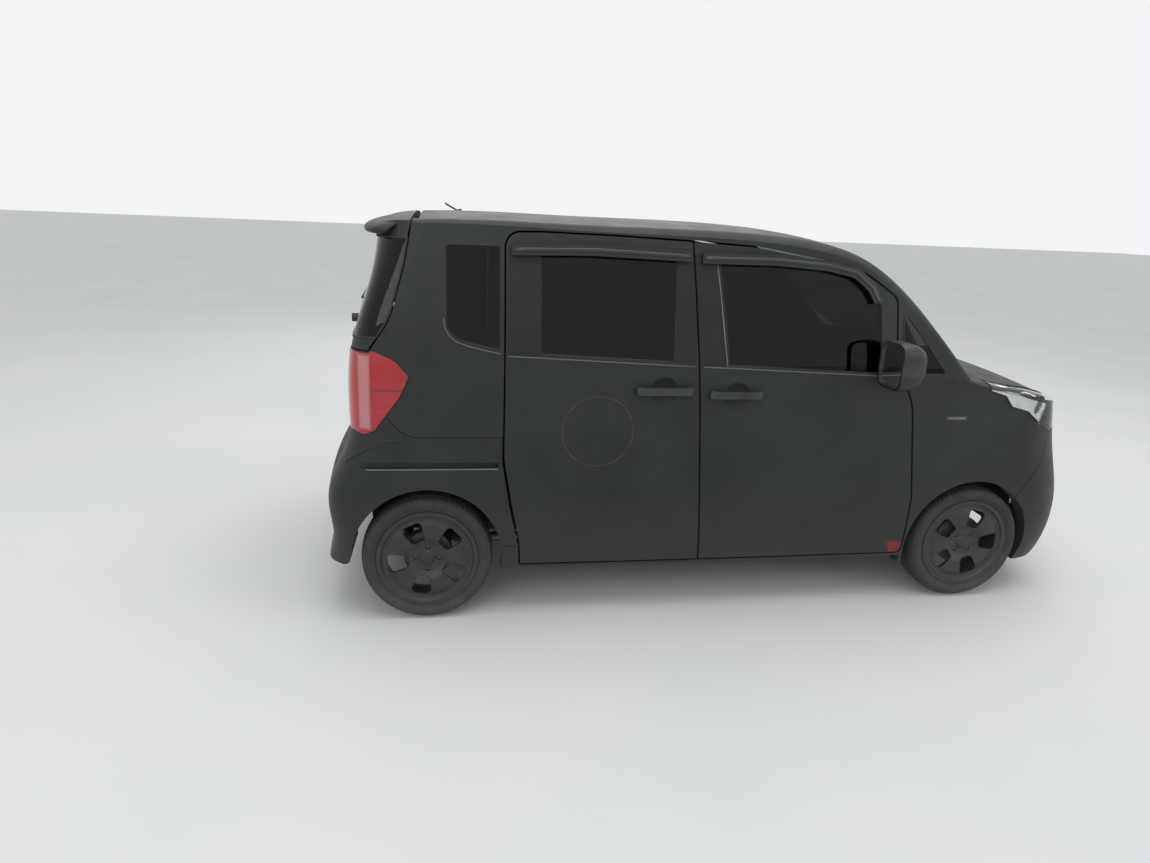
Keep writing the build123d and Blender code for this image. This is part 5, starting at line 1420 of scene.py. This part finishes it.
# %% World
def seen_directly(tree):
    """1 for camera, glossy and transmission rays, otherwise 0."""
    path = place(tree, "ShaderNodeLightPath").outputs
    either = maths(tree, "MAXIMUM", path["Is Camera Ray"], path["Is Glossy Ray"])
    return maths(tree, "MAXIMUM", either, path["Is Transmission Ray"])


world = bpy.data.worlds.new("studio")
bpy.context.scene.world = world
world.use_nodes = True
tree = world.node_tree
tree.nodes.clear()
surround = place(tree, "ShaderNodeBackground", {"Color": rgb(0.93, 0.95, 0.97), "Strength": 0.75}).outputs[0]
backdrop = place(tree, "ShaderNodeBackground", {"Color": rgb(0.90, 0.91, 0.92), "Strength": 1.0}).outputs[0]
either = place(tree, "ShaderNodeMixShader", {0: seen_directly(tree), 1: surround, 2: backdrop})
place(tree, "ShaderNodeOutputWorld", {"Surface": either.outputs[0]})


# %% Soft lights
def soft_light(name, size, power, at, toward):
    """A square area light that looks at a point."""
    data = bpy.data.lights.new(name, "AREA")
    data.shape = "RECTANGLE"
    data.size, data.size_y = size
    data.energy = power
    obj = linked(name, data)
    obj.location = at
    obj.rotation_euler = (Vector(toward) - Vector(at)).to_track_quat("-Z", "Y").to_euler()


soft_light("over", (8.0, 5.0), 200, (0.3, -0.8, 6.5), (0, 0, 0.6))
soft_light("key", (5.0, 3.0), 120, (-4.6, -7.0, 4.6), (0, 0, 0.9))
soft_light("fill", (4.0, 3.0), 60, (6.4, -5.6, 3.4), (0.6, 0, 0.9))
soft_light("back", (6.0, 3.0), 80, (0.5, 7.0, 4.2), (0, 0, 1.0))
print("watts", [light.energy for light in bpy.data.lights])

# %% [markdown]
# ## Camera
# The photograph was taken from the car's right, a little behind its middle and from standing height,
# looking slightly down. The numbers come from lining up the wheels, the belt line and the roof.

# %% Camera at the photograph's viewing angle
CAMERA_AT = (-1.2613, -3.7868, 1.7277)
YAW, PITCH, ROLL = 0.1692, 0.2825, 0.0437
lens = bpy.data.cameras.new("photo_camera")
lens.sensor_width = 36.0
lens.lens = 23.86
camera = linked("photo_camera", lens)
forward = Vector((math.sin(YAW) * math.cos(PITCH), math.cos(YAW) * math.cos(PITCH), -math.sin(PITCH)))
aim = forward.to_track_quat("-Z", "Y").to_matrix().to_4x4()
camera.matrix_world = Matrix.Translation(CAMERA_AT) @ aim @ Matrix.Rotation(ROLL, 4, "Z")
bpy.context.scene.camera = camera
bpy.context.scene.view_settings.view_transform = "Standard"
print("camera", CAMERA_AT, "lens", lens.lens)

# %% Sizes and finish
low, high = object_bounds()
grown = [round(a - b, 4) for a, b in zip((*cad_low, *high), (*low, *cad_high))]
print("grown by", grown)
